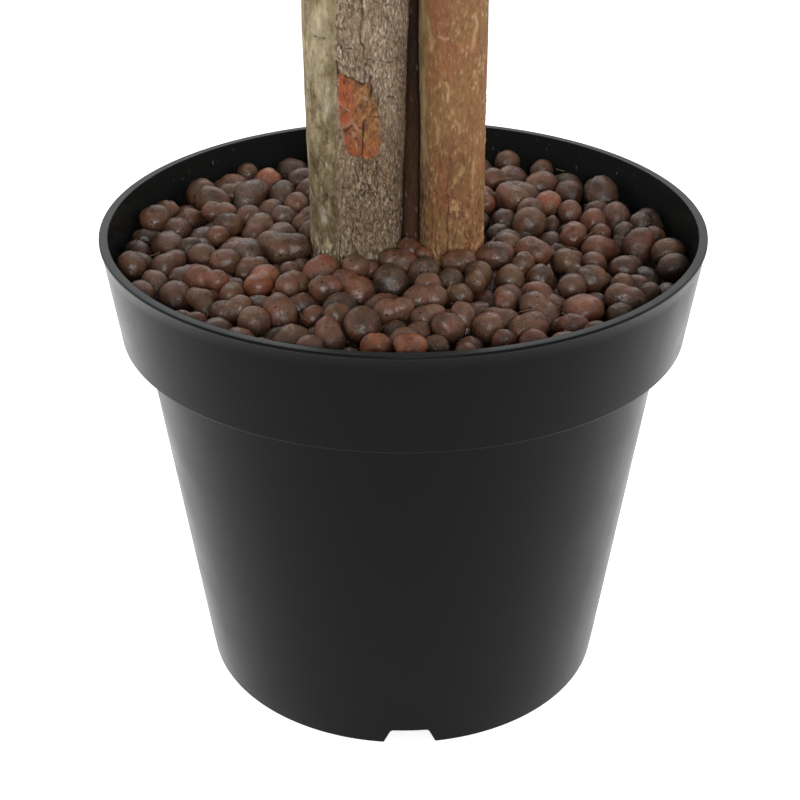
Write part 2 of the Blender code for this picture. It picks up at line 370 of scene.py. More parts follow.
def bmesh_object(name: str, body: bmesh.types.BMesh, finish: Material | None = None,
                 sharp_deg: float = 35.0) -> Piece:
    """Make an object from a bmesh, with its faces turned outwards.

    Args:
        name: The piece's name.
        body: The bmesh, which is freed.
        finish: Its material.
        sharp_deg: Edges sharper than this stay sharp.

    Returns:
        The object.
    """
    bmesh.ops.recalc_face_normals(body, faces=body.faces)
    mesh = bpy.data.meshes.new(name)
    body.to_mesh(mesh)
    body.free()
    piece = new_piece(mesh, finish)
    mesh.set_sharp_from_angle(angle=math.radians(sharp_deg))
    return piece


def turned_body(outline: list, segments: int) -> bmesh.types.BMesh:
    """Turn an outline round the Z axis, with a flat face at each end.

    Args:
        outline: Its (radius, height) points in metres.
        segments: Points round each ring.

    Returns:
        The closed body.
    """
    body = bmesh.new()
    turns = [2.0 * math.pi * i / segments for i in range(segments)]
    rings = [[body.verts.new((radius * math.cos(t), radius * math.sin(t), height)) for t in turns]
             for radius, height in outline]
    for lower, upper in zip(rings, rings[1:]):
        for i, j in zip(range(segments), (*range(1, segments), 0)):
            body.faces.new((lower[i], lower[j], upper[j], upper[i]))
    body.faces.new(rings[0])
    body.faces.new(rings[-1])
    return body


def settle_piece(piece: Piece, node: str) -> None:
    """Tell the frame what a finished piece is.

    Args:
        piece: It rides on the one body.
        node: The node that it stands for.
    """
    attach(piece, BODY)
    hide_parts(node)
    LOG.info("%s: %d faces", piece.name, len(piece.data.polygons))


def plain_mesh(piece: Piece) -> None:
    """Swap a piece's live modifiers for the mesh that they give.

    Args:
        piece: The piece, which keeps its name.
    """
    bpy.context.view_layer.update()
    graph = bpy.context.evaluated_depsgraph_get()
    result = bpy.data.meshes.new_from_object(piece.evaluated_get(graph), preserve_all_data_layers=True,
                                             depsgraph=graph)
    piece.modifiers.clear()
    piece.data = result
    result.name = piece.name


# ------------ finishes
@dataclass
class Paint:
    """A material in the making: its shader, and the ways that patterns and colours are laid on it.

    A pattern is a socket, or the name of a number that the mesh holds for each point.
    """

    name: str

    def __post_init__(self) -> None:
        """Start a material with its Principled shader linked to the output."""
        self.material = bpy.data.materials.new(self.name)
        self.material.use_nodes = True
        self.tree = self.material.node_tree
        self.tree.nodes.clear()
        self.shader = add_node(self.tree, "ShaderNodeBsdfPrincipled")
        add_node(self.tree, "ShaderNodeOutputMaterial", links={"Surface": self.shader.outputs[0]})
        self.spot = self.add("TexCoord", output="Object")

    def add(self, kind: str, settings: dict | None = None, links: dict | None = None,
            output: int | str = 0) -> Socket:
        """Add a shader node by add_node and give one of its outputs.

        Args:
            kind: The node's type name without "ShaderNode".
            settings: Properties and inputs.
            links: Patterns that feed its inputs.
            output: Which output.

        Returns:
            The output.
        """
        found = {key: self.add("Attribute", {"attribute_name": pattern}, output="Fac")
                 if isinstance(pattern, str) else pattern for key, pattern in (links or {}).items()}
        return add_node(self.tree, "ShaderNode" + kind, settings, found).outputs[output]

    def feed(self, **inputs: Socket | float | tuple) -> None:
        """Feed the shader.

        Args:
            inputs: Sockets or plain values under the inputs' names, with underscores for spaces.
        """
        for title, given in inputs.items():
            entry = self.shader.inputs[title.replace("_", " ")]
            if isinstance(given, Socket):
                self.tree.links.new(given, entry)
            else:
                entry.default_value = given

    def clouds(self, size_mm: float, detail: float = 3.0, rough: float = 0.55, along: float = 1.0,
               where: Socket | None = None) -> Socket:
        """Noise laid on the object.

        Args:
            size_mm: The width of its bumps.
            detail: How many finer layers it has.
            rough: How strong these are.
            along: Less than 1 draws the bumps out along the stem.
            where: Coordinates in place of the object's own.

        Returns:
            The noise, from 0 to 1.
        """
        spot = self.add("Mapping", {"Scale": (1.0, 1.0, along)}, {"Vector": where or self.spot})
        settings = {"Scale": 1000.0 / size_mm, "Detail": detail, "Roughness": rough}
        return self.add("TexNoise", settings, {"Vector": spot})

    def coat(self, base: str | Socket, *layers: tuple) -> Socket:
        """Lay colours over a base where patterns are strong.

        Args:
            base: A hex value or a socket.
            layers: Rows of colour, pattern, low, high and most. The colour starts to show where
                the pattern passes low, and most is its share from high on. They are 0, 1 and 1
                where a row leaves them out.

        Returns:
            The mixed colour.
        """
        for colour, pattern, *span in layers:
            settings = dict(zip(("From Min", "From Max", "To Max"), span))
            share = self.add("MapRange", settings, {"Value": pattern})
            settings, links = {"data_type": "RGBA"}, {0: share}
            for index, given in ((6, base), (7, colour)):
                if isinstance(given, str):
                    settings[index] = linear(given)
                else:
                    links[index] = given
            base = self.add("Mix", settings, links, 2)
        return base

    def both(self, *patterns: tuple) -> Socket:
        """Where two patterns are strong at once.

        Args:
            patterns: Two rows of pattern, low, high, least and most. Its weight goes from least
                at low to most at high. They are 0, 1, 0 and 1 where a row leaves them out.

        Returns:
            The product of the two weights.
        """
        titles = ("From Min", "From Max", "To Min", "To Max")
        weights = [self.add("MapRange", dict(zip(titles, span)), {"Value": pattern})
                   for pattern, *span in patterns]
        return self.add("Math", {"operation": "MULTIPLY"}, dict(enumerate(weights)))

    def relief(self, depth_mm: float, strength: float, base: Socket, *layers: tuple) -> None:
        """Give the shader a bump.

        Args:
            depth_mm: Its depth.
            strength: How much of it shows.
            base: The pattern that it starts from.
            layers: Rows of pattern and weight that are added to it.
        """
        for pattern, weight in layers:
            base = self.add("Math", {"operation": "MULTIPLY_ADD", 1: weight}, {0: pattern, 2: base})
        settings = {"Strength": strength, "Distance": depth_mm * MM}
        self.feed(Normal=self.add("Bump", settings, {"Height": base}))


@dataclass(frozen=True)
class BlackPolypropylene:
    """Injection-moulded polypropylene, black with a satin skin: soft highlights, and a grey rim face that is a
    painted reflection of the bright backdrop.

    The mesh says where the rim's face and the inside are. Lime from the water spots the inside.
    """

    name: str
    body: str = "#030303"
    inside: str = "#121413"
    # painted reflection: the rim face's grey stands in for the bright backdrop that it mirrors
    rim: str = "#232627"
    lime: str = "#5f6562"
    scuff: str = "#303331"
    skin_mm: float = 0.7
    ior: float = 1.19

    def make(self) -> Material:
        """Build the material.

        Returns:
            The material.
        """
        paint = Paint(self.name)
        runs = paint.both((paint.clouds(1.9, 3.0, 0.6, 0.55), 0.665, 0.75),
                          (paint.clouds(28.0, 1.0), 0.44, 0.56))
        streaks = paint.clouds(3.2, 5.0, 0.7, 0.22)
        # The rim layer lays the painted reflection on the rim's face.
        base = paint.coat(self.body, (self.scuff, streaks, 0.68, 0.84, 0.4), (self.inside, "inside"),
                          (self.rim, "rim"), (self.lime, paint.both((runs,), ("inside",))))
        settings = {"From Min": 0.3, "From Max": 0.7, "To Min": 0.26, "To Max": 0.34}
        satin = paint.add("MapRange", settings, {"Value": paint.clouds(24.0, 4.0)})
        paint.feed(Base_Color=base, Roughness=satin, IOR=self.ior)
        paint.relief(0.03, 0.5, paint.clouds(self.skin_mm, 2.0))
        return paint.material


@dataclass(frozen=True)
class FiredClay:
    """Expanded clay, tumbled and fired: a rough satin crust with rusty patches and fine pores.

    Between the pebbles, below a set level, it is darkened towards the pore colour: painted shade of the gaps.
    """

    name: str
    light: str
    dark: str
    rust: str = "#754632"
    chalk: str = "#94745c"
    # The pore colour also paints the shade in the gaps: below the first level the pebbles darken towards it, fully
    # at the second.
    pore_and_gap_shade: str = "#120c09"
    pore_mm: float = 3.4
    shade_start_level: float = 0.1955
    full_shade_level: float = 0.1870

    def make(self) -> Material:
        """Build the material.

        Returns:
            The material.
        """
        paint = Paint(self.name)
        fine = paint.clouds(1.1, 5.0, 0.7)
        scab = paint.add("MapRange", {"From Min": 0.53, "From Max": 0.62},
                         {"Value": paint.clouds(6.5, 6.0, 0.7)})
        cinder = paint.both((scab,), (fine, 0.50, 0.38))
        cells = add_node(paint.tree, "ShaderNodeTexVoronoi", {"Scale": 1000.0 / self.pore_mm},
                         {"Vector": paint.spot})
        some = paint.add("SeparateColor", links={0: cells.outputs["Color"]}, output=1)
        pit = paint.both((some, 0.74, 0.78), (cells.outputs["Distance"], 0.18, 0.10))
        # painted shade: below a set level the colour goes dark, as shade falls in the gaps between the pebbles
        level = paint.add("SeparateXYZ", links={0: paint.spot}, output=2)
        base = paint.coat(self.dark, (self.light, paint.clouds(12.0), 0.36, 0.64),
                          (self.rust, paint.clouds(7.0, 4.0, 0.6), 0.44, 0.66, 0.60),
                          (self.chalk, fine, 0.50, 0.76, 0.24), (self.pore_and_gap_shade, fine, 0.46, 0.30, 0.45),
                          (self.chalk, scab, 0.0, 1.0, 0.20), (self.pore_and_gap_shade, cinder, 0.0, 1.0, 0.75),
                          (self.pore_and_gap_shade, pit, 0.0, 1.0, 0.9),
                          (self.pore_and_gap_shade, level, self.shade_start_level, self.full_shade_level, 0.72))
        settings = {"From Min": 0.36, "From Max": 0.60, "To Min": 0.46, "To Max": 0.18}
        paint.feed(Base_Color=base, Roughness=paint.add("MapRange", settings, {"Value": fine}))
        rough = paint.both((paint.clouds(0.9, 4.0, 0.75),), (scab, 0.0, 1.0, 0.7, 1.5))
        paint.relief(0.47, 0.62, paint.clouds(3.0, 2.0, 0.5), (rough, 0.90), (scab, 0.10), (pit, -0.8))
        return paint.material


@dataclass(frozen=True)
class Bark:
    """Bark or bared wood of a stem. The mesh says where the strip, wound, cracks and flecks lie; the cracks' colour
    and value also carry some painted shade.
    """

    name: str
    light: str = "#a08a71"
    dark: str = "#6a5541"
    warm: str = "#816648"
    foot: str = "#7a6145"
    strip_light: str = "#a99c7e"
    strip_dark: str = "#817456"
    strip_clean: str = "#b3a27e"
    stain: str = "#5f5336"
    # the strip's darker colour towards its foot
    strip_foot: str = "#54442a"
    rot: str = "#45371f"
    wound_left: str = "#984c2d"
    wound_right: str = "#8e6439"
    wound_dark: str = "#5e3722"
    crack_and_shade: str = "#33261b"
    fleck: str = "#c9bcab"
    grain_mm: float = 2.0
    speck_mm: float = 1.0
    speckle: float = 0.78
    plate_mm: float = 2.5
    cracked: float = 0.80
    mottle: float = 0.5
    roughness: float = 0.82
    gloss: float = 0.30
    bend: float = 0.0024
    bends_per_m: float = 240.0

    def make(self) -> Material:
        """Build the material.

        Returns:
            The material.
        """
        paint = Paint(self.name)
        sway = paint.add("TexNoise", {"Scale": self.bends_per_m, "Detail": 2.0}, {"Vector": paint.spot}, 1)
        settings = {"operation": "MULTIPLY_ADD", 1: (self.bend, self.bend, self.bend)}
        bent = paint.add("VectorMath", settings, {0: sway, 2: paint.spot})
        grain = paint.clouds(self.grain_mm, 5.0, 0.65, 0.24)
        speck = paint.clouds(self.speck_mm, 4.0, 0.7, 0.42, bent)
        broad = paint.clouds(11.0, 3.0, 0.55, 0.5)
        some = paint.clouds(7.0, 2.0, 0.55, 0.6, bent)
        flakes = paint.both((speck, 0.54, 0.70, 0.0, self.speckle), (some, 0.36, 0.62, 0.35, 1.0))
        main = paint.coat(self.dark, (self.light, grain, 0.32, 0.68),
                          (self.warm, broad, 0.46, 0.64, self.mottle),
                          (self.foot, "low", 0.0, 1.0, 0.6), (self.fleck, flakes),
                          (self.crack_and_shade, speck, 0.45, 0.30, self.speckle))
        torn = paint.clouds(2.2, 5.0, 0.72, 0.5, bent)
        raw = paint.coat(self.wound_left, (self.wound_right, "across"),
                         (self.wound_dark, torn, 0.46, 0.60, 0.95),
                         (self.rot, speck, 0.45, 0.32, 0.85), (self.fleck, speck, 0.56, 0.78, 0.5))
        gaps = self.gaps(paint, bent, broad, speck)
        # The crack colour lays both the dark cracks and the painted shade that the mesh's value carries.
        cracks = paint.add("Math", {"operation": "MAXIMUM"}, {0: "fissure", 1: gaps})
        base = paint.coat(main, (self.smooth_strip(paint, bent, speck), "strip"), (raw, "wound"),
                          (self.fleck, "fleck"), (self.crack_and_shade, cracks))
        paint.feed(Base_Color=base, Roughness=self.roughness, Specular_IOR_Level=self.gloss)
        paint.relief(0.45, 0.7, grain, (speck, 0.8), (gaps, -0.8))
        return paint.material

    def smooth_strip(self, paint: Paint, bent: Socket, speck: Socket) -> Socket:
        """Colour of the smooth side: pale wood with olive stains, darker towards the foot.

        Args:
            paint: The material in the making.
            bent: Coordinates that sway a little.
            speck: The pattern of specks.

        Returns:
            The colour.
        """
        patch = paint.clouds(8.0, 4.0, 0.6, 0.55, bent)
        stains = paint.clouds(3.8, 5.0, 0.65, 0.42, bent)
        more = paint.add("Math", {"operation": "MULTIPLY_ADD", 1: 0.10}, {0: "low", 2: stains})
        clean = paint.clouds(6.5, 4.0, 0.6, 0.45)
        pits = paint.both((paint.clouds(5.5, 5.0, 0.65, 0.60, bent), 0.545, 0.60), ("low", 0.15, 0.6))
        fibre = paint.clouds(0.9, 4.0, 0.6, 0.10)
        # Towards the foot the strip is darkened by the low value.
        return paint.coat(self.strip_dark, (self.strip_light, patch, 0.42, 0.58),
                          (self.stain, more, 0.51, 0.62, 0.72),
                          (self.strip_foot, "low", 0.0, 1.0, 0.62), (self.strip_clean, clean, 0.55, 0.66, 0.55),
                          (self.rot, pits, 0.0, 1.0, 0.85), (self.stain, fibre, 0.52, 0.78, 0.5),
                          (self.rot, speck, 0.44, 0.32, 0.45), (self.fleck, speck, 0.56, 0.76, 0.5))

    def gaps(self, paint: Paint, bent: Socket, broad: Socket, speck: Socket) -> Socket:
        """Fine cracks between the bark's plates, absent from the strip and the wound.

        Args:
            paint: The material in the making.
            bent: Coordinates that sway a little.
            broad: The pattern of broad patches.
            speck: The pattern of specks.

        Returns:
            How deep the cracks are, from 0 to 1.
        """
        lines = []
        for size_mm, along, edge in ((self.plate_mm, 0.42, 0.075), (self.plate_mm * 0.45, 0.40, 0.12)):
            spot = paint.add("Mapping", {"Scale": (1.0, 1.0, along)}, {"Vector": bent})
            settings = {"feature": "DISTANCE_TO_EDGE", "Scale": 1000.0 / size_mm}
            lines.append((paint.add("TexVoronoi", settings, {"Vector": spot}, "Distance"), edge, 0.015))
        coarse = paint.both(lines[0], (broad, 0.36, 0.56, 0.2, 1.0))
        fine = paint.both(lines[1], (speck, 0.60, 0.40, 0.0, 0.7))
        either = paint.add("Math", {"operation": "MAXIMUM"}, {0: coarse, 1: fine})
        shown = paint.both((either,), (speck, 0.62, 0.46, 0.25, 1.0))
        bark = paint.both(("strip", 1.0, 0.0), ("wound", 1.0, 0.0))
        return paint.both((shown,), (bark, 0.0, 1.0, 0.0, self.cracked))


GREY_BARK = Bark("grey_fissured_bark")
BROWN_BARK = Bark("stripped_brown_bark", light="#8e633e", dark="#724f33", warm="#81613c", foot="#87603c",
                  strip_light="#aa926d", strip_dark="#87724f", strip_clean="#b59a70", stain="#6f5d3d",
                  strip_foot="#7b6040", rot="#5b4125", wound_left="#935638", wound_right="#9c6340",
                  wound_dark="#754630", crack_and_shade="#4a2d1c", fleck="#c4a67c", speck_mm=1.3, speckle=0.62,
                  plate_mm=7.0, cracked=0.0, mottle=0.8, roughness=0.74)


@dataclass(frozen=True)
class Leaf:
    """A bay leaf: leathery and waxed above, paler and matt beneath."""

    name: str
    top: str
    shade: str
    under: str = "#7c8f60"
    roughness: float = 0.50
    under_roughness: float = 0.6
    gloss: float = 0.45

    def make(self) -> Material:
        """Build the material.

        Returns:
            The material.
        """
        paint = Paint(self.name)
        back = paint.add("NewGeometry", output="Backfacing")
        base = paint.coat(self.shade, (self.top, paint.clouds(38.0, 2.0), 0.36, 0.64), (self.under, back))
        settings = {"To Min": self.roughness, "To Max": self.under_roughness}
        matt = paint.add("MapRange", settings, {"Value": back})
        paint.feed(Base_Color=base, Roughness=matt, Specular_IOR_Level=self.gloss)
        paint.relief(0.25, 0.35, paint.clouds(2.6))
        return paint.material


@dataclass(frozen=True)
class StudioPaint:
    """Milky acrylic of a lit studio table: matt, pale, and bright from below round its middle."""

    name: str
    colour: str = "#fbfbfa"
    roughness: float = 0.9
    glow: float = 0.0
    middle_glow: float = 0.68
    lit_radius: float = 1.30

    def make(self) -> Material:
        """Build the material.

        Returns:
            The material.
        """
        paint = Paint(self.name)
        reach = 1.0 / self.lit_radius
        near = paint.add("Mapping", {"Scale": (reach, reach, reach)}, {"Vector": paint.spot})
        lamp = paint.add("TexGradient", {"gradient_type": "SPHERICAL"}, {0: near}, 1)
        glow = paint.add("MapRange", {"To Min": self.glow, "To Max": self.middle_glow}, {"Value": lamp})
        paint.feed(Base_Color=linear(self.colour), Roughness=self.roughness,
                   Emission_Color=(1.0, 1.0, 1.0, 1.0), Emission_Strength=glow)
        return paint.material


# ------------ limbs, as the frame has them
@dataclass(frozen=True)
class Limb:
    """A tapering limb along a gently bowed line, in metres."""

    name: str
    foot: tuple
    tip: tuple
    foot_radius: float
    tip_radius: float
    bow: tuple = (0.0, 0.0, 0.0)
    swelling: float = 0.0
    swelling_at: float = 0.0
    swelling_spread: float = 1.0
    dent: float = 0.0

    def centre(self, share: Array) -> Array:
        """Points on the centre line at shares of the length."""
        foot, tip, bow, share = *map(np.array, (self.foot, self.tip, self.bow)), share[:, None]
        return foot + (tip - foot) * share + bow * np.sin(math.pi * share)

    def radius(self, share: Array) -> Array:
        """Mean radii at shares of the length."""
        taper = self.foot_radius + (self.tip_radius - self.foot_radius) * share
        return taper + self.swelling * np.exp(-(((share - self.swelling_at) / self.swelling_spread) ** 2))


TRUNK_LEFT = Limb("trunk_left", (-0.0199, 0.0, GROUND), (-0.0165, -0.001, 0.745), 0.0184, 0.0150,
                  (0.0008, 0.0030, 0.0), 0.0032, 0.200, 0.130, 0.022)
TRUNK_RIGHT = Limb("trunk_right", (0.0203, 0.0, GROUND), (0.0180, 0.002, 0.738), 0.0133, 0.0104,
                   (-0.0002, -0.0030, 0.0), 0.0011, 0.250, 0.150, 0.022)
SLIM_STEM = Limb("slim_stem", (0.0030, 0.0036, GROUND), (0.0020, 0.0150, 0.852), 0.0037, 0.0030,
                 (0.0034, 0.0110, 0.0))
BOUGHS = (
    Limb("bough_left_leader", (-0.0165, -0.001, 0.745), (-0.040, -0.014, 0.850), 0.0138, 0.0090,
         (0.002, 0.001, 0.0)),
    Limb("bough_right_leader", (0.0180, 0.002, 0.738), (0.038, 0.010, 0.850), 0.0096, 0.0066,
         (-0.002, 0.0, 0.0)),
    Limb("bough_left_side", (-0.0170, 0.000, 0.706), (-0.080, 0.030, 0.838), 0.0085, 0.0056,
         (-0.006, 0.003, 0.0)),
    Limb("bough_left_front", (-0.0168, -0.001, 0.716), (-0.030, -0.072, 0.838), 0.0080, 0.0052,
         (-0.001, -0.006, 0.0)),
    Limb("bough_right_side", (0.0183, 0.001, 0.702), (0.078, -0.028, 0.838), 0.0068, 0.0046,
         (0.006, -0.003, 0.0)),
    Limb("bough_right_back", (0.0182, 0.001, 0.714), (0.030, 0.072, 0.838), 0.0064, 0.0042,
         (0.001, 0.006, 0.0)),
)


# ------------ pot
@dataclass
class Pot:
    """The moulded pot: foot ring, raised floor, tapered wall, stepped band and flat-topped rim."""

    finish: BlackPolypropylene = BlackPolypropylene("satin_black_polypropylene")
    segments: int = 224
    wall: float = 0.0022
    foot_radius: float = 0.0886
    body_top_radius: float = 0.1099
    band_height: float = 0.0428
    band_foot_radius: float = 0.1190
    band_top_radius: float = 0.1245
    rim_width: float = 0.0037
    floor_underside: float = 0.0082
    floor_top: float = 0.0105
    notch_turn: float = math.radians(1.8)
    notch_foot_width: float = 0.0230
    notch_top_width: float = 0.0172
    notch_height: float = 0.0078
    drain_radius: float = 0.0050
    drain_ring: float = 0.0580
    drain_count: int = 8
    sharp_deg: float = 32.0
    body_rings: int = 24
    band_rings: int = 8

    def build(self) -> None:
        """Turn the shell, open its notches and drains, and dress it."""
        body = turned_body(self.profile(), self.segments)
        pot = bmesh_object("pot_shell", body, self.finish.make(), self.sharp_deg)
        cutters = [self.notch(index) for index in range(4)] + [self.drains()]
        for cutter in cutters:
            step = pot.modifiers.new(cutter.name, "BOOLEAN")
            step.operation = "DIFFERENCE"
            step.solver = "EXACT"
            step.object = cutter
        plain_mesh(pot)
        pot.data.set_sharp_from_angle(angle=math.radians(self.sharp_deg))
        for cutter in cutters:
            bpy.data.objects.remove(cutter, do_unlink=True)
        self.mark_faces(pot)
        settle_piece(pot, "pot")

    def mark_faces(self, pot: Piece) -> None:
        """Tell the finish which points lie on the rim's face and which inside the band.

        Args:
            pot: The finished shell.
        """
        points = np.array([vert.co[:] for vert in pot.data.vertices])
        reach, height = np.hypot(points[:, 0], points[:, 1]), points[:, 2]
        inside = (reach < self.inner_reach(height) + 0.0006) & (height > self.shelf)
        name_values(pot.data, {"rim": height > POT_HEIGHT - 0.00005, "inside": inside})

    @property
    def shelf(self) -> float:
        """Level of the step inside the pot, under the band."""
        return POT_HEIGHT - self.band_height + self.wall

    def inner_reach(self, height: Array | float) -> Array | float:
        """Radius of the inside of the band at a height."""
        low, high = self.band_foot_radius - self.wall, RIM_RADIUS - self.rim_width
        return low + (high - low) * (height - self.shelf) / (POT_HEIGHT - self.shelf)

    def arc(self, centre: tuple, radius: float, start: float, end: float, steps: int) -> list:
        """Points (radius, height) along an arc, from one angle in degrees to another."""
        turns = [math.radians(start + (end - start) * i / steps) for i in range(steps + 1)]
        return [(centre[0] + radius * math.cos(t), centre[1] + radius * math.sin(t)) for t in turns]

    def profile(self) -> list:
        """Draw the wall's outline from the floor's underside, out and up, over the rim and down inside.

        Returns:
            Its (radius, height) points.
        """
        step = POT_HEIGHT - self.band_height
        edge = 0.0004
        foot_in = self.foot_radius - 0.0040
        points = [(0.001, self.floor_underside), (foot_in - 0.0030, self.floor_underside)]
        points += self.arc((foot_in - 0.0012, self.floor_underside - 0.0010), 0.0010, 90, 0, 4)
        points += self.arc((foot_in + 0.0008, 0.0008), 0.0008, 180, 270, 4)
        points += self.arc((self.foot_radius - 0.0009, 0.0009), 0.0009, -90, 0, 5)
        for share in np.arange(1, self.body_rings) / self.body_rings:
            reach = self.foot_radius + (self.body_top_radius - self.foot_radius) * share
            points.append((reach, step * share))
        points += self.arc((self.body_top_radius + 0.0008, step - 0.0008), 0.0008, 180, 90, 4)
        points += self.arc((self.band_foot_radius - 0.0007, step + 0.0007), 0.0007, -90, 0, 5)
        for share in np.arange(1, self.band_rings + 1) / self.band_rings:
            reach = self.band_foot_radius + (self.band_top_radius - self.band_foot_radius) * share
            points.append((reach, step + 0.0012 + (self.band_height - 0.0030) * share))
        points.append((RIM_RADIUS, POT_HEIGHT - 0.0011))
        points += self.arc((RIM_RADIUS - edge, POT_HEIGHT - edge), edge, 0, 90, 4)
        inner = RIM_RADIUS - self.rim_width
        points += self.arc((inner + edge, POT_HEIGHT - edge), edge, 90, 180, 4)
        inset, shelf = self.wall, self.shelf
        levels = (0.1980, 0.1900, 0.1820, 0.1740, shelf + 0.0006)
        points += [(self.inner_reach(height), height) for height in levels]
        return points + [
            (self.band_foot_radius - inset - 0.0006, shelf),
            (self.body_top_radius - inset + 0.0006, shelf),
            (self.body_top_radius - inset, shelf - 0.0006),
            (self.foot_radius + 0.0014 - inset, self.floor_top + 0.0006),
            (self.foot_radius + 0.0008 - inset, self.floor_top),
            (0.001, self.floor_top),
        ]

    def notch(self, index: int) -> Piece:
        """Make a cutter with rounded upper corners that opens the foot ring on one side.

        Args:
            index: Which side, from 0 at the front to 3.

        Returns:
            The cutter.
        """
        turn = self.notch_turn - math.pi / 2 + index * math.pi / 2
        out = Vector((math.cos(turn), math.sin(turn), 0.0))
        side = Vector((-math.sin(turn), math.cos(turn), 0.0))
        curve = 0.0018
        half_foot, half_top = self.notch_foot_width / 2, self.notch_top_width / 2
        right = self.arc((half_top - curve, self.notch_height - curve), curve, 20, 90, 5)
        outline = [(-half_foot - 0.0006, -0.002), (half_foot + 0.0006, -0.002), *right]
        outline += [(-x, z) for x, z in reversed(right)]
        body = bmesh.new()
        ends = []
        for reach in (self.foot_radius - 0.012, self.foot_radius + 0.004):
            ends.append([body.verts.new(out * reach + side * x + Vector((0, 0, z))) for x, z in outline])
        for i in range(len(outline)):
            j = (i + 1) % len(outline)
            body.faces.new((ends[0][i], ends[0][j], ends[1][j], ends[1][i]))
        body.faces.new(ends[0])
        body.faces.new(ends[1])
        return bmesh_object(f"notch_cutter_{index + 1}", body)

    def drains(self) -> Piece:
        """Make a cutter for the round drain holes of the floor.

        Returns:
            The cutter.
        """
        body = bmesh.new()
        for index in range(self.drain_count):
            turn = 2.0 * math.pi * (index + 0.5) / self.drain_count
            middle = Vector((math.cos(turn), math.sin(turn), 0.0)) * self.drain_ring
            middle.z = self.floor_underside
            bmesh.ops.create_cone(body, cap_ends=True, segments=20, radius1=self.drain_radius,
                                  radius2=self.drain_radius, depth=0.012, matrix=Matrix.Translation(middle))
        return bmesh_object("drain_cutter", body)


# ------------ scattered copies
@dataclass
class Scatter:
    """Copies of a few shapes on points, made by Geometry Nodes and turned into one plain mesh."""

    name: str
    layers: tuple = (("kind", "INT"), ("turn", "FLOAT_VECTOR"), ("size", "FLOAT_VECTOR"))

    def __post_init__(self) -> None:
        """Start with no shapes."""
        self.collection = bpy.data.collections.new(self.name + "_shapes")
        bpy.context.scene.collection.children.link(self.collection)

    def add_shape(self, index: int, points: list, faces: list, rib_faces: list | None = None) -> None:
        """Add a shape.

        Args:
            index: Its number among the shapes.
            points: Its points.
            faces: Its faces.
            rib_faces: For each face, whether it takes the second finish.
        """
        mesh = bpy.data.meshes.new(f"{self.name}_{index:02d}")
        mesh.from_pydata(points, [], faces)
        mark = mesh.attributes.new("rib", "BOOLEAN", "FACE")
        mark.data.foreach_set("value", rib_faces or [False] * len(faces))
        mesh.shade_smooth()
        self.collection.objects.link(bpy.data.objects.new(f"{self.name}_{index:02d}", mesh))

    def tree(self) -> Tree:
        """Build the node tree.

        Returns:
            A tree that sets copies on points, by the points' own kind, turn and size.
        """
        tree = bpy.data.node_groups.new(self.name + "_copies", "GeometryNodeTree")
        for title, kind in (("Geometry", "Geometry"), ("Shapes", "Collection"), ("Copy Scale", "Float"),
                            ("Finish", "Material"), ("Rib Finish", "Material")):
            tree.interface.new_socket(title, in_out="INPUT", socket_type="NodeSocket" + kind)
        tree.interface.new_socket("Geometry", in_out="OUTPUT", socket_type="NodeSocketGeometry")
        enter = add_node(tree, "NodeGroupInput")
        shapes = add_node(tree, "GeometryNodeCollectionInfo",
                          {"Separate Children": True, "Reset Children": True},
                          {"Collection": enter.outputs["Shapes"]})
        read = "GeometryNodeInputNamedAttribute"
        kind, turn, size, mark = (add_node(tree, read, {"data_type": data_type, "Name": title}).outputs[0]
                                  for title, data_type in (*self.layers, ("rib", "BOOLEAN")))
        spin = add_node(tree, "FunctionNodeEulerToRotation", links={0: turn})
        scale = add_node(tree, "ShaderNodeVectorMath", {"operation": "SCALE"},
                         {0: size, "Scale": enter.outputs["Copy Scale"]})
        copies = add_node(tree, "GeometryNodeInstanceOnPoints", {"Pick Instance": True},
                          {"Points": enter.outputs["Geometry"], "Instance": shapes.outputs[0],
                           "Instance Index": kind, "Rotation": spin.outputs[0], "Scale": scale.outputs[0]})
        real = add_node(tree, "GeometryNodeRealizeInstances", links={0: copies.outputs[0]})
        main = add_node(tree, "GeometryNodeSetMaterial",
                        links={"Geometry": real.outputs[0], "Material": enter.outputs["Finish"]})
        rib = add_node(tree, "GeometryNodeSetMaterial",
                       links={"Geometry": main.outputs[0], "Selection": mark,
                              "Material": enter.outputs["Rib Finish"]})
        add_node(tree, "NodeGroupOutput", links={0: rib.outputs[0]})
        return tree

    def build(self, name: str, places: list, finish: Material,
              rib_finish: Material | None = None) -> Piece:
        """Make one joined piece from places of (kind, centre, Euler turn, size).

        Args:
            name: The piece's name.
            places: One tuple for each copy.
            finish: The material of the copies.
            rib_finish: The material of the faces marked as rib.

        Returns:
            The piece with a plain mesh.
        """
        mesh = bpy.data.meshes.new(name)
        mesh.from_pydata([tuple(place[1]) for place in places], [], [])
        for index, (title, data_type) in zip((0, 2, 3), self.layers):
            data = mesh.attributes.new(title, data_type, "POINT").data
            if index:
                data.foreach_set("vector", [number for place in places for number in place[index]])
            else:
                data.foreach_set("value", [place[0] for place in places])
        piece = new_piece(mesh, None)
        step = piece.modifiers.new("copies", "NODES")
        group = step.node_group = self.tree()
        inputs = {"Shapes": self.collection, "Copy Scale": 1.0, "Finish": finish,
                  "Rib Finish": rib_finish or finish}
        for item in group.interface.items_tree:
            if item.name in inputs:
                step[item.identifier] = inputs[item.name]
        plain_mesh(piece)
        bpy.data.node_groups.remove(group)
        for title in ("kind", "turn", "size", "rib"):
            layer = piece.data.attributes.get(title)
            if layer:
                piece.data.attributes.remove(layer)
        return piece

    def clear(self) -> None:
        """Remove the shapes once their copies are made."""
        for shape in list(self.collection.objects):
            bpy.data.objects.remove(shape, do_unlink=True)
        bpy.data.collections.remove(self.collection)


# ------------ pebbles
@dataclass(frozen=True)
class PebbleForm:
    """One kind of pebble: its size and share, and up to three fused balls as (x, y, radius)."""

    size: float
    share: float
    balls: tuple


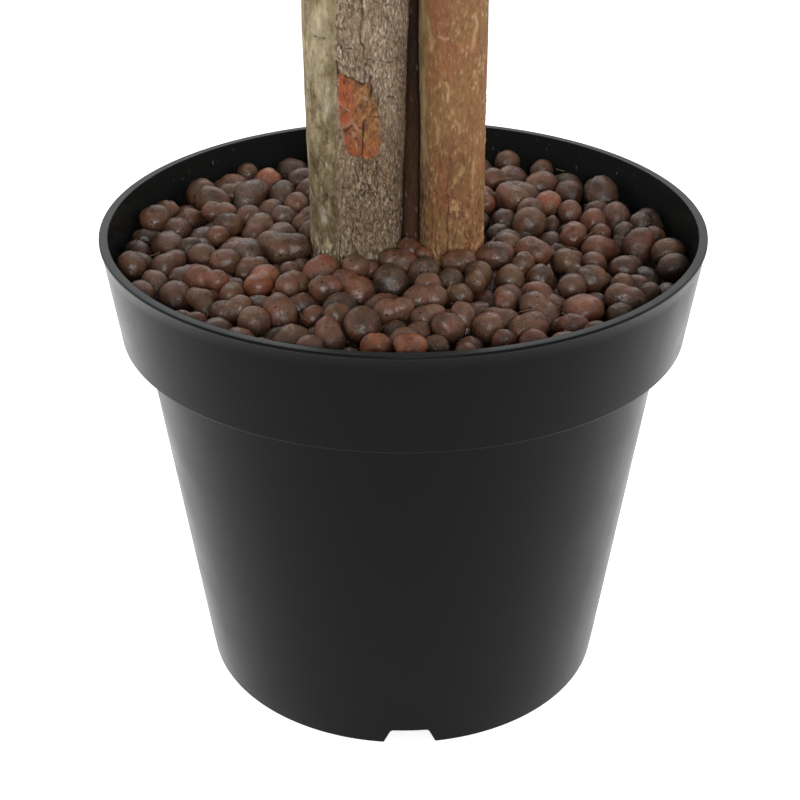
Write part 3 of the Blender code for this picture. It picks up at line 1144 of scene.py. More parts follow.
@dataclass
class Balls:
    """The balls that the pebbles are fused of, while they settle, in metres.

    The owner is the number of each ball's pebble. The ties are the first and second balls of the
    fused pairs, and their distances. The wall is the inside of the pot's band, less a clearance.
    """

    centres: Array
    radii: Array
    owner: Array
    ties: tuple
    wall_foot: float = 0.1638
    wall_foot_radius: float = 0.1163
    wall_slope: float = 0.11
    stem_gap: float = 0.0002

    def neighbours(self) -> tuple:
        """Find the balls of different pebbles that are near enough to touch soon.

        Returns:
            The first and the second balls of the pairs.
        """
        flat = self.centres.astype(np.float32)
        square = np.einsum("ij,ij->i", flat, flat)
        gap = square[:, None] + square[None, :] - 2.0 * flat @ flat.T
        reach = (self.radii[:, None] + self.radii[None, :] + 0.004).astype(np.float32)
        one, two = np.nonzero(np.triu(gap < reach * reach, 1))
        apart = self.owner[one] != self.owner[two]
        return one[apart], two[apart]

    def spread(self, one: Array, two: Array, apart: Array, give: float, pull: bool) -> None:
        """Move pairs of balls towards their distances.

        Args:
            one: The first balls.
            two: The second balls.
            apart: The distances.
            give: How much of what is missing each ball moves.
            pull: Whether pairs that are further apart are drawn together.
        """
        line = self.centres[two] - self.centres[one]
        gap = np.maximum(np.linalg.norm(line, axis=1), 1e-6)
        short = apart - gap if pull else np.maximum(0.0, apart - gap)
        move = line * (give * short / gap)[:, None]
        np.add.at(self.centres, one, -move)
        np.add.at(self.centres, two, move)

    def hold_inside(self, floor: float, lids: Array) -> None:
        """Keep the balls off the bed, inside the wall and off the stems.

        Args:
            floor: The bed's level.
            lids: The level that each ball may reach.
        """
        centres, radii = self.centres, self.radii
        centres[:, 2] = np.clip(centres[:, 2], floor + 0.6 * radii, lids - radii)
        reach = np.hypot(centres[:, 0], centres[:, 1])
        limit = self.wall_foot_radius + self.wall_slope * (centres[:, 2] - self.wall_foot) - radii
        centres[:, :2] *= np.where(reach > limit, limit / np.maximum(reach, 1e-6), 1.0)[:, None]
        for limb in (TRUNK_LEFT, TRUNK_RIGHT, SLIM_STEM):
            away = centres[:, :2] - np.array(limb.foot[:2])
            gap = np.maximum(np.linalg.norm(away, axis=1), 1e-6)
            push = np.maximum(0.0, limb.foot_radius + self.stem_gap + radii - gap)
            centres[:, :2] += away / gap[:, None] * push[:, None]


@dataclass
class PebbleBed:
    """Loose clay pebbles of one, two or three fused balls, settled under their own weight."""

    seed: int = 23
    count: int = 480
    mean_radius: float = 0.0068
    spread: float = 0.16
    grades: tuple = (0.68, 1.32)
    bed_floor: float = 0.1705
    lid: float = 0.1962
    sway: float = 0.0034
    sway_size: float = 0.021
    mound: float = 0.0030
    mound_reach: float = 0.060
    fall_steps: int = 360
    rest_steps: int = 50
    fall_step: float = 0.00030
    fibre_count: int = 54
    visible_depth: float = 0.0145
    lumps: tuple = ((0.060, 0.95), (0.040, 0.42), (0.016, 0.19))  # shares of the radius, and their sizes
    forms: tuple = (
        *(PebbleForm(size, 0.05, ((0.0, 0.0, 1.0),)) for size in (1.02, 1.00, 0.94, 1.08)),
        PebbleForm(0.96, 0.13, ((-0.22, 0.0, 1.0), (0.22, 0.0, 0.96))),
        PebbleForm(0.98, 0.13, ((-0.33, 0.0, 1.0), (0.33, 0.0, 0.84))),
        PebbleForm(0.92, 0.09, ((-0.40, 0.0, 1.0), (0.40, 0.0, 0.97))),
        PebbleForm(0.98, 0.09, ((-0.46, 0.0, 1.0), (0.46, 0.0, 0.76))),
        PebbleForm(0.90, 0.09, ((-0.58, 0.0, 1.0), (0.58, 0.0, 0.92))),
        PebbleForm(0.94, 0.08, ((-0.62, 0.0, 1.0), (0.62, 0.0, 0.74))),
        PebbleForm(0.88, 0.08, ((-0.42, -0.26, 0.95), (0.42, -0.26, 0.90), (0.0, 0.40, 0.84))),
        PebbleForm(0.98, 0.08, ((-0.68, -0.12, 0.80), (0.0, 0.12, 0.95), (0.66, -0.15, 0.76))),
    )
    shades: tuple = (  # name, share, and the light, dark and rusty colours
        ("mauve", 0.42, "#644635", "#412c21", "#764534"),
        ("umber", 0.29, "#58402d", "#38261b", "#6d412c"),
        ("slate", 0.11, "#4e3d31", "#31261d", "#5f3e2e"),
        ("rust", 0.14, "#6c4331", "#492d21", "#7e4831"),
        ("orange", 0.04, "#824c32", "#593223", "#955839"),
    )

    def __post_init__(self) -> None:
        """Start the seeded generator."""
        self.rng = np.random.default_rng(self.seed)

    def build(self) -> None:
        """Settle the pebbles and make their pieces."""
        centres, balls = self.settle()
        titles, chances, *_ = zip(*self.shades)
        visible: dict = {title: [] for title in titles}
        hidden: list = []
        for kind, radius, members in balls:
            spots = centres[members]
            tops = spots[:, 2] + radius * np.array([ball[2] for ball in self.forms[kind].balls])
            shade = self.rng.choice(titles, p=np.array(chances) / sum(chances))
            place = self.place(kind, radius, spots)
            (visible[shade] if tops.max() > self.lid - self.visible_depth else hidden).append(place)
        detailed = self.shapes("pebble", 4)
        for title, _, *colours in self.shades:
            finish = FiredClay("fired_clay_" + title, *colours)
            settle_piece(detailed.build("pebbles_" + title, visible[title], finish.make()), "pebble_fill")
        detailed.clear()
        plain = self.shapes("pebble_low", 2)
        # painted shade: the hidden lower pebbles take darker colours than those on top
        lower = FiredClay("fired_clay_below", "#45332a", "#2b201b", "#4d3024")
        settle_piece(plain.build("pebbles_below", hidden, lower.make()), "pebble_fill")
        plain.clear()
        self.build_bed()
        self.build_fibres(centres, balls)

    def build_fibres(self, centres: Array, balls: list) -> None:
        """Lay fine dry root fibres over pebbles at the top of the heap.

        Args:
            centres: The centres of all balls.
            balls: The pebbles, as settle gives them.
        """
        heap, rng = Heap(), self.rng
        tops = [(centres[member], radius) for _, radius, members in balls for member in members
                if centres[member][2] + radius > self.lid - 0.004]
        for _ in range(self.fibre_count):
            centre, radius = tops[int(rng.integers(len(tops)))]
            first = rng.normal(size=3) + [0.0, 0.0, 1.2]
            first /= np.linalg.norm(first)
            across = np.cross(first, rng.normal(size=3))
            across /= np.linalg.norm(across)
            turns = (np.linspace(-0.5, 0.5, 7) * rng.uniform(0.4, 1.1))[:, None]
            lift = radius * (1.04 + 0.10 * (2.0 * turns / np.ptp(turns)) ** 2)
            sway = 0.0005 * np.sin(5.0 * turns + rng.uniform(0.0, 6.28)) * np.cross(first, across)
            line = centre + (np.cos(turns) * first + np.sin(turns) * across) * lift + sway
            heap.add_tube(line, np.full(7, rng.uniform(0.00008, 0.00015)), 4)
        finish = Bark("dry_root_fibre", light="#94795a", dark="#6d563c", warm="#7f6444", speckle=0.1, cracked=0.0)
        settle_piece(heap.build("root_fibres", finish.make()), "pebble_fill")

    def settle(self) -> tuple:
        """Let the pebbles fall and push each other apart until they rest.

        Returns:
            The centres of all balls, and (form, unit radius, ball numbers) of each pebble.
        """
        rng, grain = self.rng, Grain(self.seed + 2)
        shares = np.array([form.share for form in self.forms])
        kinds = rng.choice(len(self.forms), self.count, p=shares / shares.sum())
        pebbles, radii, starts, ties = [], [], [], []
        for kind in kinds:
            form = self.forms[kind]
            grade = float(np.clip(np.exp(rng.normal(0.0, self.spread)), *self.grades))
            radius = self.mean_radius * form.size * grade
            turn, reach = rng.random() * 2.0 * math.pi, 0.108 * math.sqrt(rng.random())
            height = self.bed_floor + 0.045 * rng.random()
            spot = np.array([reach * math.cos(turn), reach * math.sin(turn), height])
            frame = np.linalg.qr(rng.normal(size=(3, 3)))[0]
            members = list(range(len(radii), len(radii) + len(form.balls)))
            for x, y, size in form.balls:
                starts.append(spot + frame @ np.array([x, y, 0.0]) * radius)
                radii.append(radius * size)
            for one, two in ((0, 1), (1, 2), (0, 2)):
                if two < len(members):
                    apart = radius * math.dist(form.balls[one][:2], form.balls[two][:2])
                    ties.append((members[one], members[two], apart))
            pebbles.append((int(kind), radius, members))
        sizes = [len(pebble[2]) for pebble in pebbles]
        owner = np.repeat(np.arange(self.count), sizes)
        ties = tuple(np.array(column) for column in zip(*ties))
        balls = Balls(np.array(starts), np.array(radii), owner, ties)
        own_lid = np.repeat(rng.uniform(-0.5, 0.5, self.count) * self.sway, sizes)
        for step in range(self.fall_steps):
            if step < self.fall_steps - self.rest_steps:
                balls.centres[:, 2] -= self.fall_step
            if step % 8 == 0:
                one, two = balls.neighbours()
            for _ in range(2):
                balls.spread(one, two, balls.radii[one] + balls.radii[two], 0.46, False)
                balls.spread(*balls.ties, 0.5, True)
            reach = np.hypot(balls.centres[:, 0], balls.centres[:, 1])
            lid = self.lid + self.sway * grain.smooth(balls.centres * [1.0, 1.0, 0.0], self.sway_size)
            lid = lid + self.mound * np.exp(-((reach / self.mound_reach) ** 2))
            balls.hold_inside(self.bed_floor, lid + own_lid)
        return balls.centres, pebbles

    def place(self, kind: int, radius: float, spots: Array) -> tuple:
        """Fit one pebble to its settled balls.

        Args:
            kind: The number of its form.
            radius: Its unit radius.
            spots: The centres of its balls.

        Returns:
            Its kind, centre, turn and size.
        """
        form = self.forms[kind]
        size = Vector((1.0, float(self.rng.uniform(0.90, 1.0)), float(self.rng.uniform(0.86, 0.98)))) * radius
        if len(spots) == 1:
            turn = Euler([self.rng.uniform(low, high) for low, high in ((-0.6, 0.6), (-0.6, 0.6), (0.0, 6.28))])
            return kind, Vector(spots[0]), turn, Vector((size.x * 1.08, size.y, size.z))
        own = self.axes(np.array([(x, y, 0.0) for x, y, _ in form.balls]), np.array([0.0, 1.0, 0.0]))
        world = self.axes(spots, self.rng.normal(size=3))
        frame = world @ own.T
        middle = np.array([(x, y, 0.0) for x, y, _ in form.balls]).mean(axis=0) * radius
        centre = spots.mean(axis=0) - frame @ middle
        return kind, Vector(centre), Matrix(frame.tolist()).to_euler(), size

    @staticmethod
    def axes(spots: Array, spare: Array) -> Array:
        """Find a pebble's own axes, the first of which runs from the first ball to the second.

        Args:
            spots: The centres of its balls.
            spare: What gives the second axis where there are two balls.

        Returns:
            The axes as columns.
        """
        first = spots[1] - spots[0]
        first = first / np.linalg.norm(first)
        toward = spots[2] - spots[0] if len(spots) == 3 else spare
        third = np.cross(first, toward)
        third /= np.linalg.norm(third)
        return np.stack([first, np.cross(third, first), third], axis=1)

    def shapes(self, name: str, fineness: int) -> Scatter:
        """Shape the unit pebble of each form, with lumps.

        Args:
            name: The name of the shapes.
            fineness: How often their faces are divided.

        Returns:
            The shapes, ready for copying.
        """
        scatter = Scatter(name)
        grain = Grain(self.seed + 1)
        ball = bmesh.new()
        bmesh.ops.create_icosphere(ball, subdivisions=fineness, radius=1.0)
        rays = np.array([vert.co[:] for vert in ball.verts])
        faces = [[vert.index for vert in face.verts] for face in ball.faces]
        ball.free()
        rays /= np.linalg.norm(rays, axis=1, keepdims=True)
        for index, form in enumerate(self.forms):
            reach = self.fused_reach(rays, form)
            shift = 11.0 * index
            reach = reach * sum((power * grain.smooth(rays + shift, size) for power, size in self.lumps), start=1.0)
            reach *= 1.0 - 0.07 * ease(0.25, 0.75, grain.smooth(rays - shift, 0.6))
            scatter.add_shape(index, (rays * reach[:, None]).tolist(), faces)
        return scatter

    @staticmethod
    def fused_reach(rays: Array, form: PebbleForm) -> Array:
        """Find how far a pebble's fused balls reach, softened where they meet.

        Args:
            rays: Directions from its middle.
            form: Its form.

        Returns:
            The reach along each ray.
        """
        reaches = []
        for x, y, radius in form.balls:
            toward = rays[:, 0] * x + rays[:, 1] * y
            reaches.append(toward + np.sqrt(np.maximum(0.0, radius**2 - x * x - y * y + toward**2)))
        soft = 0.10
        return soft * np.log(sum(np.exp(reach / soft) for reach in reaches))

    def build_bed(self) -> None:
        """The clay mass under the loose pebbles, kept to the fill's own outline."""
        top = self.bed_floor + 0.003
        outline = [(0.001, 0.0110), (0.0872, 0.0110), (0.1073, 0.1630), (0.1073, 0.1642), (0.1162, 0.1650),
                   (0.1168, top - 0.001), (0.0800, top), (0.001, top)]
        # painted shade: the clay mass under the loose pebbles is coloured near black, standing in for the deep
        # shade under the heap
        finish = FiredClay("fired_clay_bed", "#2b211c", "#1d1713").make()
        settle_piece(bmesh_object("pebble_bed", turned_body(outline, 96), finish), "pebble_fill")


# ------------ trunks
class BarkKind(Enum):
    """How a trunk's surface looks."""

    GREY = "fissured grey bark beside a smooth strip"
    STRIPPED = "orange-brown wood with flakes of bark left on it"


class MarkKind(Enum):
    """What a mark does to the surface."""

    CRACK = "cut in and dark"
    STAIN = "level and dark"
    PALE = "level and light"
    RIDGE = "raised and light"
    KNOT = "a swelling with a dark eye"


@dataclass(frozen=True)
class Mark:
    """A mark along a path of (turn in degrees from the front, height above ground in mm).

    The width is in millimetres. The power is the depth of what is cut or raised, in millimetres,
    or the strength of a stain or a pale patch.
    """

    kind: MarkKind
    width: float
    power: float
    path: tuple


CRACK, STAIN, PALE, RIDGE, KNOT = MarkKind


def points_of(*numbers: float) -> tuple:
    """Pair up a flat row of turns and heights."""
    return tuple(zip(numbers[::2], numbers[1::2]))


def marks(kind: MarkKind, *rows: tuple) -> tuple:
    """Marks of one kind from rows of width, power, and the path's turns and heights."""
    return tuple(Mark(kind, row[0], row[1], points_of(*row[2:])) for row in rows)


GREY_MARKS = marks(
    CRACK,
    (0.3, 0.7, 3, 140, 6, 124, 8, 110, 10, 105.5, 7, 101, 6, 97.5, 8, 94.5, 12, 92.5, 10, 91.5, 10, 89.5, 14,
     87.5, 14, 86.5, 11, 85, 12, 82.5, 11, 80),
    (0.26, 0.5, 10, 89, 14, 88, 18, 88, 22, 87, 24, 87.5),
    (0.22, 0.4, 27, 87, 36, 86, 45, 85.5),
    (0.24, 0.4, -12, 93, -7, 92.5, -2, 92.5),
    (0.28, 0.6, 39, 72, 46, 71.5, 50, 70.5, 51, 69),
    (0.36, 0.9, 18, 81, 17, 79, 20, 75.5, 19, 72.5),
    # along the wound's top edge: a crack whose dark line is partly painted shadow of the overhanging bark
    (0.36, 0.7, -11, 82, -8, 81, -2, 80.5, 1, 79.5, 6, 78.5, 11, 78.5),
    (0.55, 0.8, -19, 87, -18, 82.5),
    (0.28, 0.7, 12, 63.5, 11, 62.5, 11, 59.5, 10, 55.5, 10, 51.5, 9, 48.5, 11, 46.5, 9, 44.5, 9, 41.5),
    (0.22, 0.3, 15, 64.5, 20, 64.5, 22, 64.5, 29, 64),
    (0.36, 0.4, -2, 61.5, -7, 60, -11, 59),
    (0.26, 0.5, 1, 45.5, 2, 42, 5, 38.5, 11, 37.5, 18, 36, 19, 34.5),
    (0.26, 0.5, 27, 46, 26, 40.5, 29, 36.5, 28, 34.5),
    (0.24, 0.5, 11, 37.5, 13, 35, 12, 32.5, 5, 32),
    (0.24, 0.4, -15, 35.5, -9, 35.5),
    (0.24, 0.4, -2, 22, -2, 19, -2, 16),
    (0.24, 0.4, -13, 19.5, -15, 15.5),
    (0.24, 0.4, 15, 33, 23, 32.5, 27, 30.5),
    (0.22, 0.2, -52, 96, -49, 95.5, -40, 95, -33, 95.5),
    (1.4, 2.2, -10, 1, -9, -0.5),
    (0.3, 0.5, -19, 12, -20, 2),
    (0.26, 0.4, -3, 12.5, 1, 3.5),
) + marks(
    STAIN,
    (0.8, 0.5, -75, 33, -63, 30.5, -57, 28.5),
    (0.55, 0.4, -34, 38, -35, 35.5),
    (1.1, 0.55, -36, 31, -36, 30),
    (1.2, 0.55, -58, 24, -58, 22.5),
    (0.7, 0.5, -26, 27, -26, 23),
    (1, 0.5, -59, 17, -55, 14),
    (0.9, 0.5, -50, 13, -47, 9),
    (0.7, 0.45, -37, 17.5, -34, 13),
    (1.5, 0.4, -56, 47, -56, 42.5),
    (2.4, 0.32, -27, 91.5, -26, 85),
    (1.5, 0.35, -26, 73.5, -26, 70.5),
    (1.7, 0.25, -46, 88, -46, 84),
    (1.6, 0.3, -24, 65.5, -24, 60),
    (0.8, 0.45, 22, 7.5, 25, 7),
    (1.1, 0.45, 7, 5.5, 10, 5.5),
    (0.8, 0.4, 17, 18.5, 19, 18),
    (0.45, 0.3, 65, 28, 61, 25.5, 53, 24, 45, 24),
) + marks(
    PALE,
    (2.2, 0.5, -42, 23.5, -41, 20),
    (0.55, 0.8, -35, 44, -35, 44.5),
    (3.6, 0.22, -46, 101, -44, 96.5),
    (2.6, 0.25, -34, 77.5, -32, 68),
    (0.5, 0.9, 18, 14.5, 18, 14),
    (0.7, 0.8, 32, 2.5, 35, 3, 38, 3),
) + marks(
    RIDGE,
    (0.3, 0.3, -12, 92.5, -7, 92, -2, 91.5),
    (0.3, 0.7, -18, 71, -12, 68.5, -6, 67.5),
    (0.34, 0.7, -3, 64, -1, 62, 6, 59),
    (0.36, 0.8, -4, 63, -7, 61.5, -13, 60.5),
    (0.55, 0.5, -2, 58.5, -2, 57),
    (0.26, 0.3, -8, 21.5, 0, 25),
    (0.26, 0.3, -17, 34.5, -16, 32.5),
) + marks(
    KNOT,
    (4.6, 1.6, 58, 236, 58, 236.5),
    (5.6, 1.9, -118, 322, -118, 323),
    (4.2, 1.5, 146, 158, 146, 158.5),
    (5, 1.8, 20, 447, 20, 448),
)

BROWN_MARKS = marks(
    CRACK,
    (0.28, 0.4, -10, 31, -8, 25, -12, 19, -9, 12, -10, 2),
) + marks(
    STAIN,
    (3.4, 0.3, -8, 101.5, -8, 99.5),
    (0.5, 0.7, -8, 95, -8, 94),
    (0.6, 0.6, 34, 90.5, 34, 87),
    (0.45, 0.45, 24, 84, 23, 81.5),
    (0.45, 0.6, 5, 71, 5, 70),
    (0.5, 0.6, 12, 69, 13, 68),
    (0.8, 0.6, 57, 69, 59, 68),
    (0.55, 0.5, -53, 82, -52, 80.5),
    (1.8, 0.28, -10, 36, 4, 33.5, -4, 29.5, -14, 28.5),
    (1.6, 0.34, -16, 52, -6, 49.5, 2, 51),
    (1.4, 0.42, -8, 46, -4, 42, -7, 38),
    (1.2, 0.5, -9, 34.5, -12, 32),
    (1.1, 0.45, -22, 44, -24, 40),
    (2.4, 0.22, 12, 48, 24, 40, 18, 30),
    (1.5, 0.6, 33, 14, 36, 11),
    (1.1, 0.6, 52, 12, 55, 9.5),
    (0.7, 0.6, -1, 15.5, -1, 15),
    (0.9, 0.6, -14, 7.5, -13, 6.5),
    (0.8, 0.55, 20, 4.5, 21, 3.5),
) + marks(
    PALE,
    (0.55, 0.45, -28, 95.5, -20, 94.5, -11, 95),
    (0.5, 0.45, 0, 95.5, 6, 97.5),
    (0.9, 0.4, -50, 101.5, -45, 96.5, -40, 93.5, -43, 89.5),
    (0.75, 0.6, 30, 103, 35, 104, 39, 99, 33, 95, 30, 91),
    (0.5, 0.7, -11, 72.5, -11, 71.5),
    (0.6, 0.5, 36, 81.5, 36, 79.5),
    (0.4, 0.5, 12, 82, 12, 81),
    (0.8, 0.45, -34, 62, -28, 58, -30, 52),
    (0.6, 0.45, 2, 62, 8, 60, 10, 57),
    (0.55, 0.5, -14, 77, -9, 74.5, -12, 70),
    (0.7, 0.45, 38, 44, 35, 36, 37, 27),
) + marks(
    KNOT,
    (3.6, 1.3, -42, 284, -42, 284.5),
    (3.2, 1.2, 112, 176, 112, 176.5),
    (4, 1.4, 8, 402, 8, 403),
)

# The torn patch on the grey trunk, as turns in degrees and heights in millimetres.
WOUND = points_of(
    -18, 85, -17, 81, -18, 77, -18, 72, -17, 68, -16, 62.5, -14, 59.5, -12, 57, -10, 53, -7, 50, -2, 48.5, 9, 48.5,
    13, 47.5, 22, 47.5, 27, 48.5, 32, 52, 31, 57.5, 30, 63.5, 27, 66.5, 26, 70, 21, 71.5, 20, 75, 17, 79, 11, 78.5,
    6, 79, 1, 80, -2, 81, -8, 81, -11, 82, -16, 82.5)


@dataclass
class Skin:
    """A stem's surface, for relief and patterns: its points, turns and heights in millimetres.

    The values are the numbers that its material reads, one for each point under each name.
    """

    grain: Grain
    points: Array
    turn: Array | None = None
    height: Array | None = None
    values: dict = field(default_factory=dict)

    def bumps(self, across: float, along: float | None = None, shift: float = 0.0) -> Array:
        """Noise whose bumps are so many millimetres across and along the stem."""
        return self.grain.smooth(self.points + shift, (across, across, along or across))

    def layers(self, count: int, across: float, along: float | None = None, shift: float = 0.0) -> Array:
        """The same with finer layers."""
        return self.grain.layered(self.points + shift, (across, across, along or across), count)

    def mark(self, title: str, strength: Array) -> None:
        """Raise one of the values to a strength where it is lower."""
        self.values[title] = np.maximum(self.values[title], strength)


@dataclass
class BarkedTrunk:
    """A trunk's relief mesh, finest at the front near the ground where its marks are."""

    limb: Limb
    kind: BarkKind
    marks: tuple
    finish: Bark
    slot: str
    seed: int
    turn_step: float
    back_columns: int
    front_half_turn: float = 80.0
    fine_height: float = 0.118
    fine_step: float = 0.0006
    coarse_step: float = 0.0032
    sunk: float = 0.006
    patch_radius: float = 20.1

    def build(self) -> None:
        """Shape the surface, give it its marks and dress it."""
        rows = self.row_shares()
        front = np.arange(-self.front_half_turn, self.front_half_turn, self.turn_step)
        back = np.linspace(0.0, 1.0, self.back_columns, endpoint=False)
        turns = np.concatenate([front, self.front_half_turn + (360.0 - 2.0 * self.front_half_turn) * back])
        share, turn = (grid.ravel() for grid in np.meshgrid(rows, turns, indexing="ij"))
        turn = (turn + 180.0) % 360.0 - 180.0
        length = (self.limb.tip[2] - self.limb.foot[2]) / MM
        height = share * length
        wave = 2.0 * math.pi * (turn + 90.0) / 360.0
        ridge = 0.5 + 0.5 * np.sin(3.0 * wave + 9.0 * share)
        radius = self.limb.radius(share) / MM * (1.0 - self.limb.dent * (1.0 - ridge))
        angle = np.radians(turn)
        points = np.stack([radius * np.sin(angle), -radius * np.cos(angle), height], axis=1)
        skin = Skin(Grain(self.seed), points, turn, height)
        surface = self.grey_surface if self.kind is BarkKind.GREY else self.stripped_surface
        lift = surface(skin) + self.add_marks(skin) + self.fray(skin)
        fibres = skin.bumps(1.1, 26.0, 31.0) + 0.5 * skin.bumps(0.6, 9.0)
        lift -= 1.1 * ease(9.0, -3.0, height) * ease(-0.1, 0.9, fibres)
        lift -= 1.5 * ease(length - 8.0, length, height) ** 2
        radius = radius + lift
        outward = np.stack([np.sin(angle), -np.cos(angle), 0.0 * angle], axis=1)
        points = self.limb.centre(share) + outward * (radius * MM)[:, None]
        sides = grid_faces(len(rows), len(turns))[:, ::-1]
        points, faces, values = close_ends(points, sides, len(turns), skin.values, flip=True)
        piece = mesh_object(self.limb.name + "_bark", points, faces, self.finish.make(), values)
        settle_piece(piece, self.limb.name)

    def row_shares(self) -> Array:
        """Space the rows, closer together near the ground.

        Returns:
            Their heights as shares of the trunk.
        """
        length = self.limb.tip[2] - self.limb.foot[2]
        low = np.arange(-self.sunk, self.fine_height, self.fine_step)
        high = np.arange(self.fine_height, length, self.coarse_step)
        return np.concatenate([low, high, [length]]) / length

    def fray(self, skin: Skin) -> Array:
        """Crumble the surface where it meets the pebbles.

        Args:
            skin: The surface, whose values change.

        Returns:
            The relief in millimetres.
        """
        near = ease(17.0, 3.0, skin.height + 3.0 * skin.bumps(3.0, shift=44.0))
        for title, shift, power in (("fleck", 51.0, 0.65), ("fissure", 57.0, 0.80)):
            skin.mark(title, power * near * ease(0.10, 0.50, skin.layers(2, 0.9, 2.2, shift)))
        return 0.40 * near * skin.layers(2, 0.9, 2.0, 61.0)

    def add_marks(self, skin: Skin) -> Array:
        """Lay the marks on the surface.

        Args:
            skin: The surface, whose values change.

        Returns:
            The relief in millimetres.
        """
        lift = np.zeros(len(skin.turn))
        sway = 0.34 * skin.bumps(1.7, shift=3.0) + 0.16 * skin.bumps(0.7, shift=27.0)
        ragged = 0.7 + 0.45 * skin.layers(2, 1.1, 2.6, 15.0)
        mean_radius = self.limb.radius(np.array([0.1]))[0] / MM
        for mark in self.marks:
            start = mark.path[0][0]
            across = np.radians((skin.turn - start + 180.0) % 360.0 - 180.0) * mean_radius
            track = [(math.radians(t - start) * mean_radius, h) for t, h in mark.path]
            away = distance_to_line(across + sway, skin.height + sway, track)
            body = np.exp(-((away / mark.width) ** 2))
            if mark.kind is CRACK:
                lift -= mark.power * body
                skin.mark("fissure", np.minimum(1.0, 1.2 * body) * np.clip(0.50 + 0.70 * ragged, 0.0, 1.0))
            elif mark.kind in (STAIN, PALE):
                shown = mark.power * np.clip(body * ragged * 1.3, 0.0, 1.0)
                skin.mark("fissure" if mark.kind is STAIN else "fleck", shown)
            elif mark.kind is RIDGE:
                lift += mark.power * body
                skin.mark("fleck", 0.26 * body)
            else:
                eye = np.exp(-((away / (0.34 * mark.width)) ** 2))
                rings = 0.12 * np.sin(7.0 * away / mark.width) * body
                lift += mark.power * (body - 0.55 * eye + rings)
                skin.mark("fissure", np.clip(0.8 * eye - 2.0 * rings, 0.0, 0.85))
        return lift

    def grey_surface(self, skin: Skin) -> Array:
        """Shape the grey trunk's bark, smooth strip and torn patch.

        Args:
            skin: The surface, which gets its values.

        Returns:
            The relief in millimetres.
        """
        grain, turn, height = skin.grain, skin.turn, skin.height
        across = np.radians(turn) * self.patch_radius
        level = skin.points * [0, 0, 1]
        waves = ((3.0, 9.0), (2.2, 3.1), (1.2, 1.3))
        edge = -20.0 + sum(reach * grain.smooth(level, size) for reach, size in waves)
        strip = ease(edge + 1.6, edge - 1.6, turn) * ease(-160.0, -152.0, turn + 6.0 * skin.bumps(9.0))
        strip *= ease(548.0, 456.0, height + 34.0 * skin.layers(3, 6.0, 20.0, 70.0))
        bark = 1.0 - strip
        bend = 0.30 * skin.layers(2, 1.6)
        outline = [(math.radians(t) * self.patch_radius, h) for t, h in WOUND]
        inset = signed_distance(across + bend, height + 0.35 * skin.layers(2, 1.7, shift=5.0), outline)
        wound = ease(0.16, -0.16, inset)
        rough = bark * (1.0 - wound)
        gap, tone = grain.cells((turn + 180.0) / 360.0 * 54 + 0.6 * bend, height / 6.6 + 0.4 * bend, 54)
        fine_gap, fine_tone = grain.cells((turn + 180.0) / 360.0 * 118 + bend, height / 3.1, 118)
        patchy = ease(-0.35, 0.45, skin.bumps(8.0, 16.0))
        plates = np.exp(-((gap / 0.09) ** 2)) * (0.25 + 0.75 * patchy)
        scales = np.exp(-((fine_gap / 0.13) ** 2)) * (0.3 + 0.7 * ease(-0.3, 0.4, skin.bumps(5.0)))
        lift = 0.45 * skin.bumps(17.0, 34.0) + 0.42 * bark - 1.0 * wound
        lift += rough * (0.30 * (tone - 0.5) + 0.22 * (fine_tone - 0.5) - 0.34 * plates - 0.22 * scales)
        lift += rough * 0.26 * skin.layers(2, 0.9, 2.4)
        lift += 0.22 * np.exp(-(((inset - 0.3) / 0.4) ** 2)) * ease(60.0, 76.0, height)
        lift += wound * 0.34 * skin.layers(3, 2.2, 4.0)
        lift += strip * (0.10 * skin.bumps(0.9, 9.0) + 0.20 * skin.bumps(4.0, 11.0))
        lift += strip * 0.35 * skin.bumps(2.6, 16.0, 40.0) * ease(46.0, 12.0, height)
        silver = ease(0.15, 0.60, skin.layers(2, 0.8, 1.9, 9.0)) * rough
        silver *= 0.35 + 0.65 * ease(-0.15, 0.45, skin.bumps(9.0, 14.0, 2.0))
        warm_edge = ease(1.6, -0.2, inset) * ease(64.0, 74.0, height) * ease(2.0, 10.0, turn)
        skin.values = {
            "strip": strip,
            "wound": np.maximum(wound, 0.5 * warm_edge),
            "fissure": np.clip(0.80 * plates + 0.36 * scales, 0.0, 1.0) * rough,
            "fleck": 0.85 * silver,
            "across": np.clip(ease(-14, 12, turn) * ease(44, 60, height) + 0.3 * skin.bumps(2.5), 0.0, 1.0),
            "low": ease(118.0, 14.0, height + 16.0 * skin.layers(2, 9.0, 18.0)),
        }
        return lift

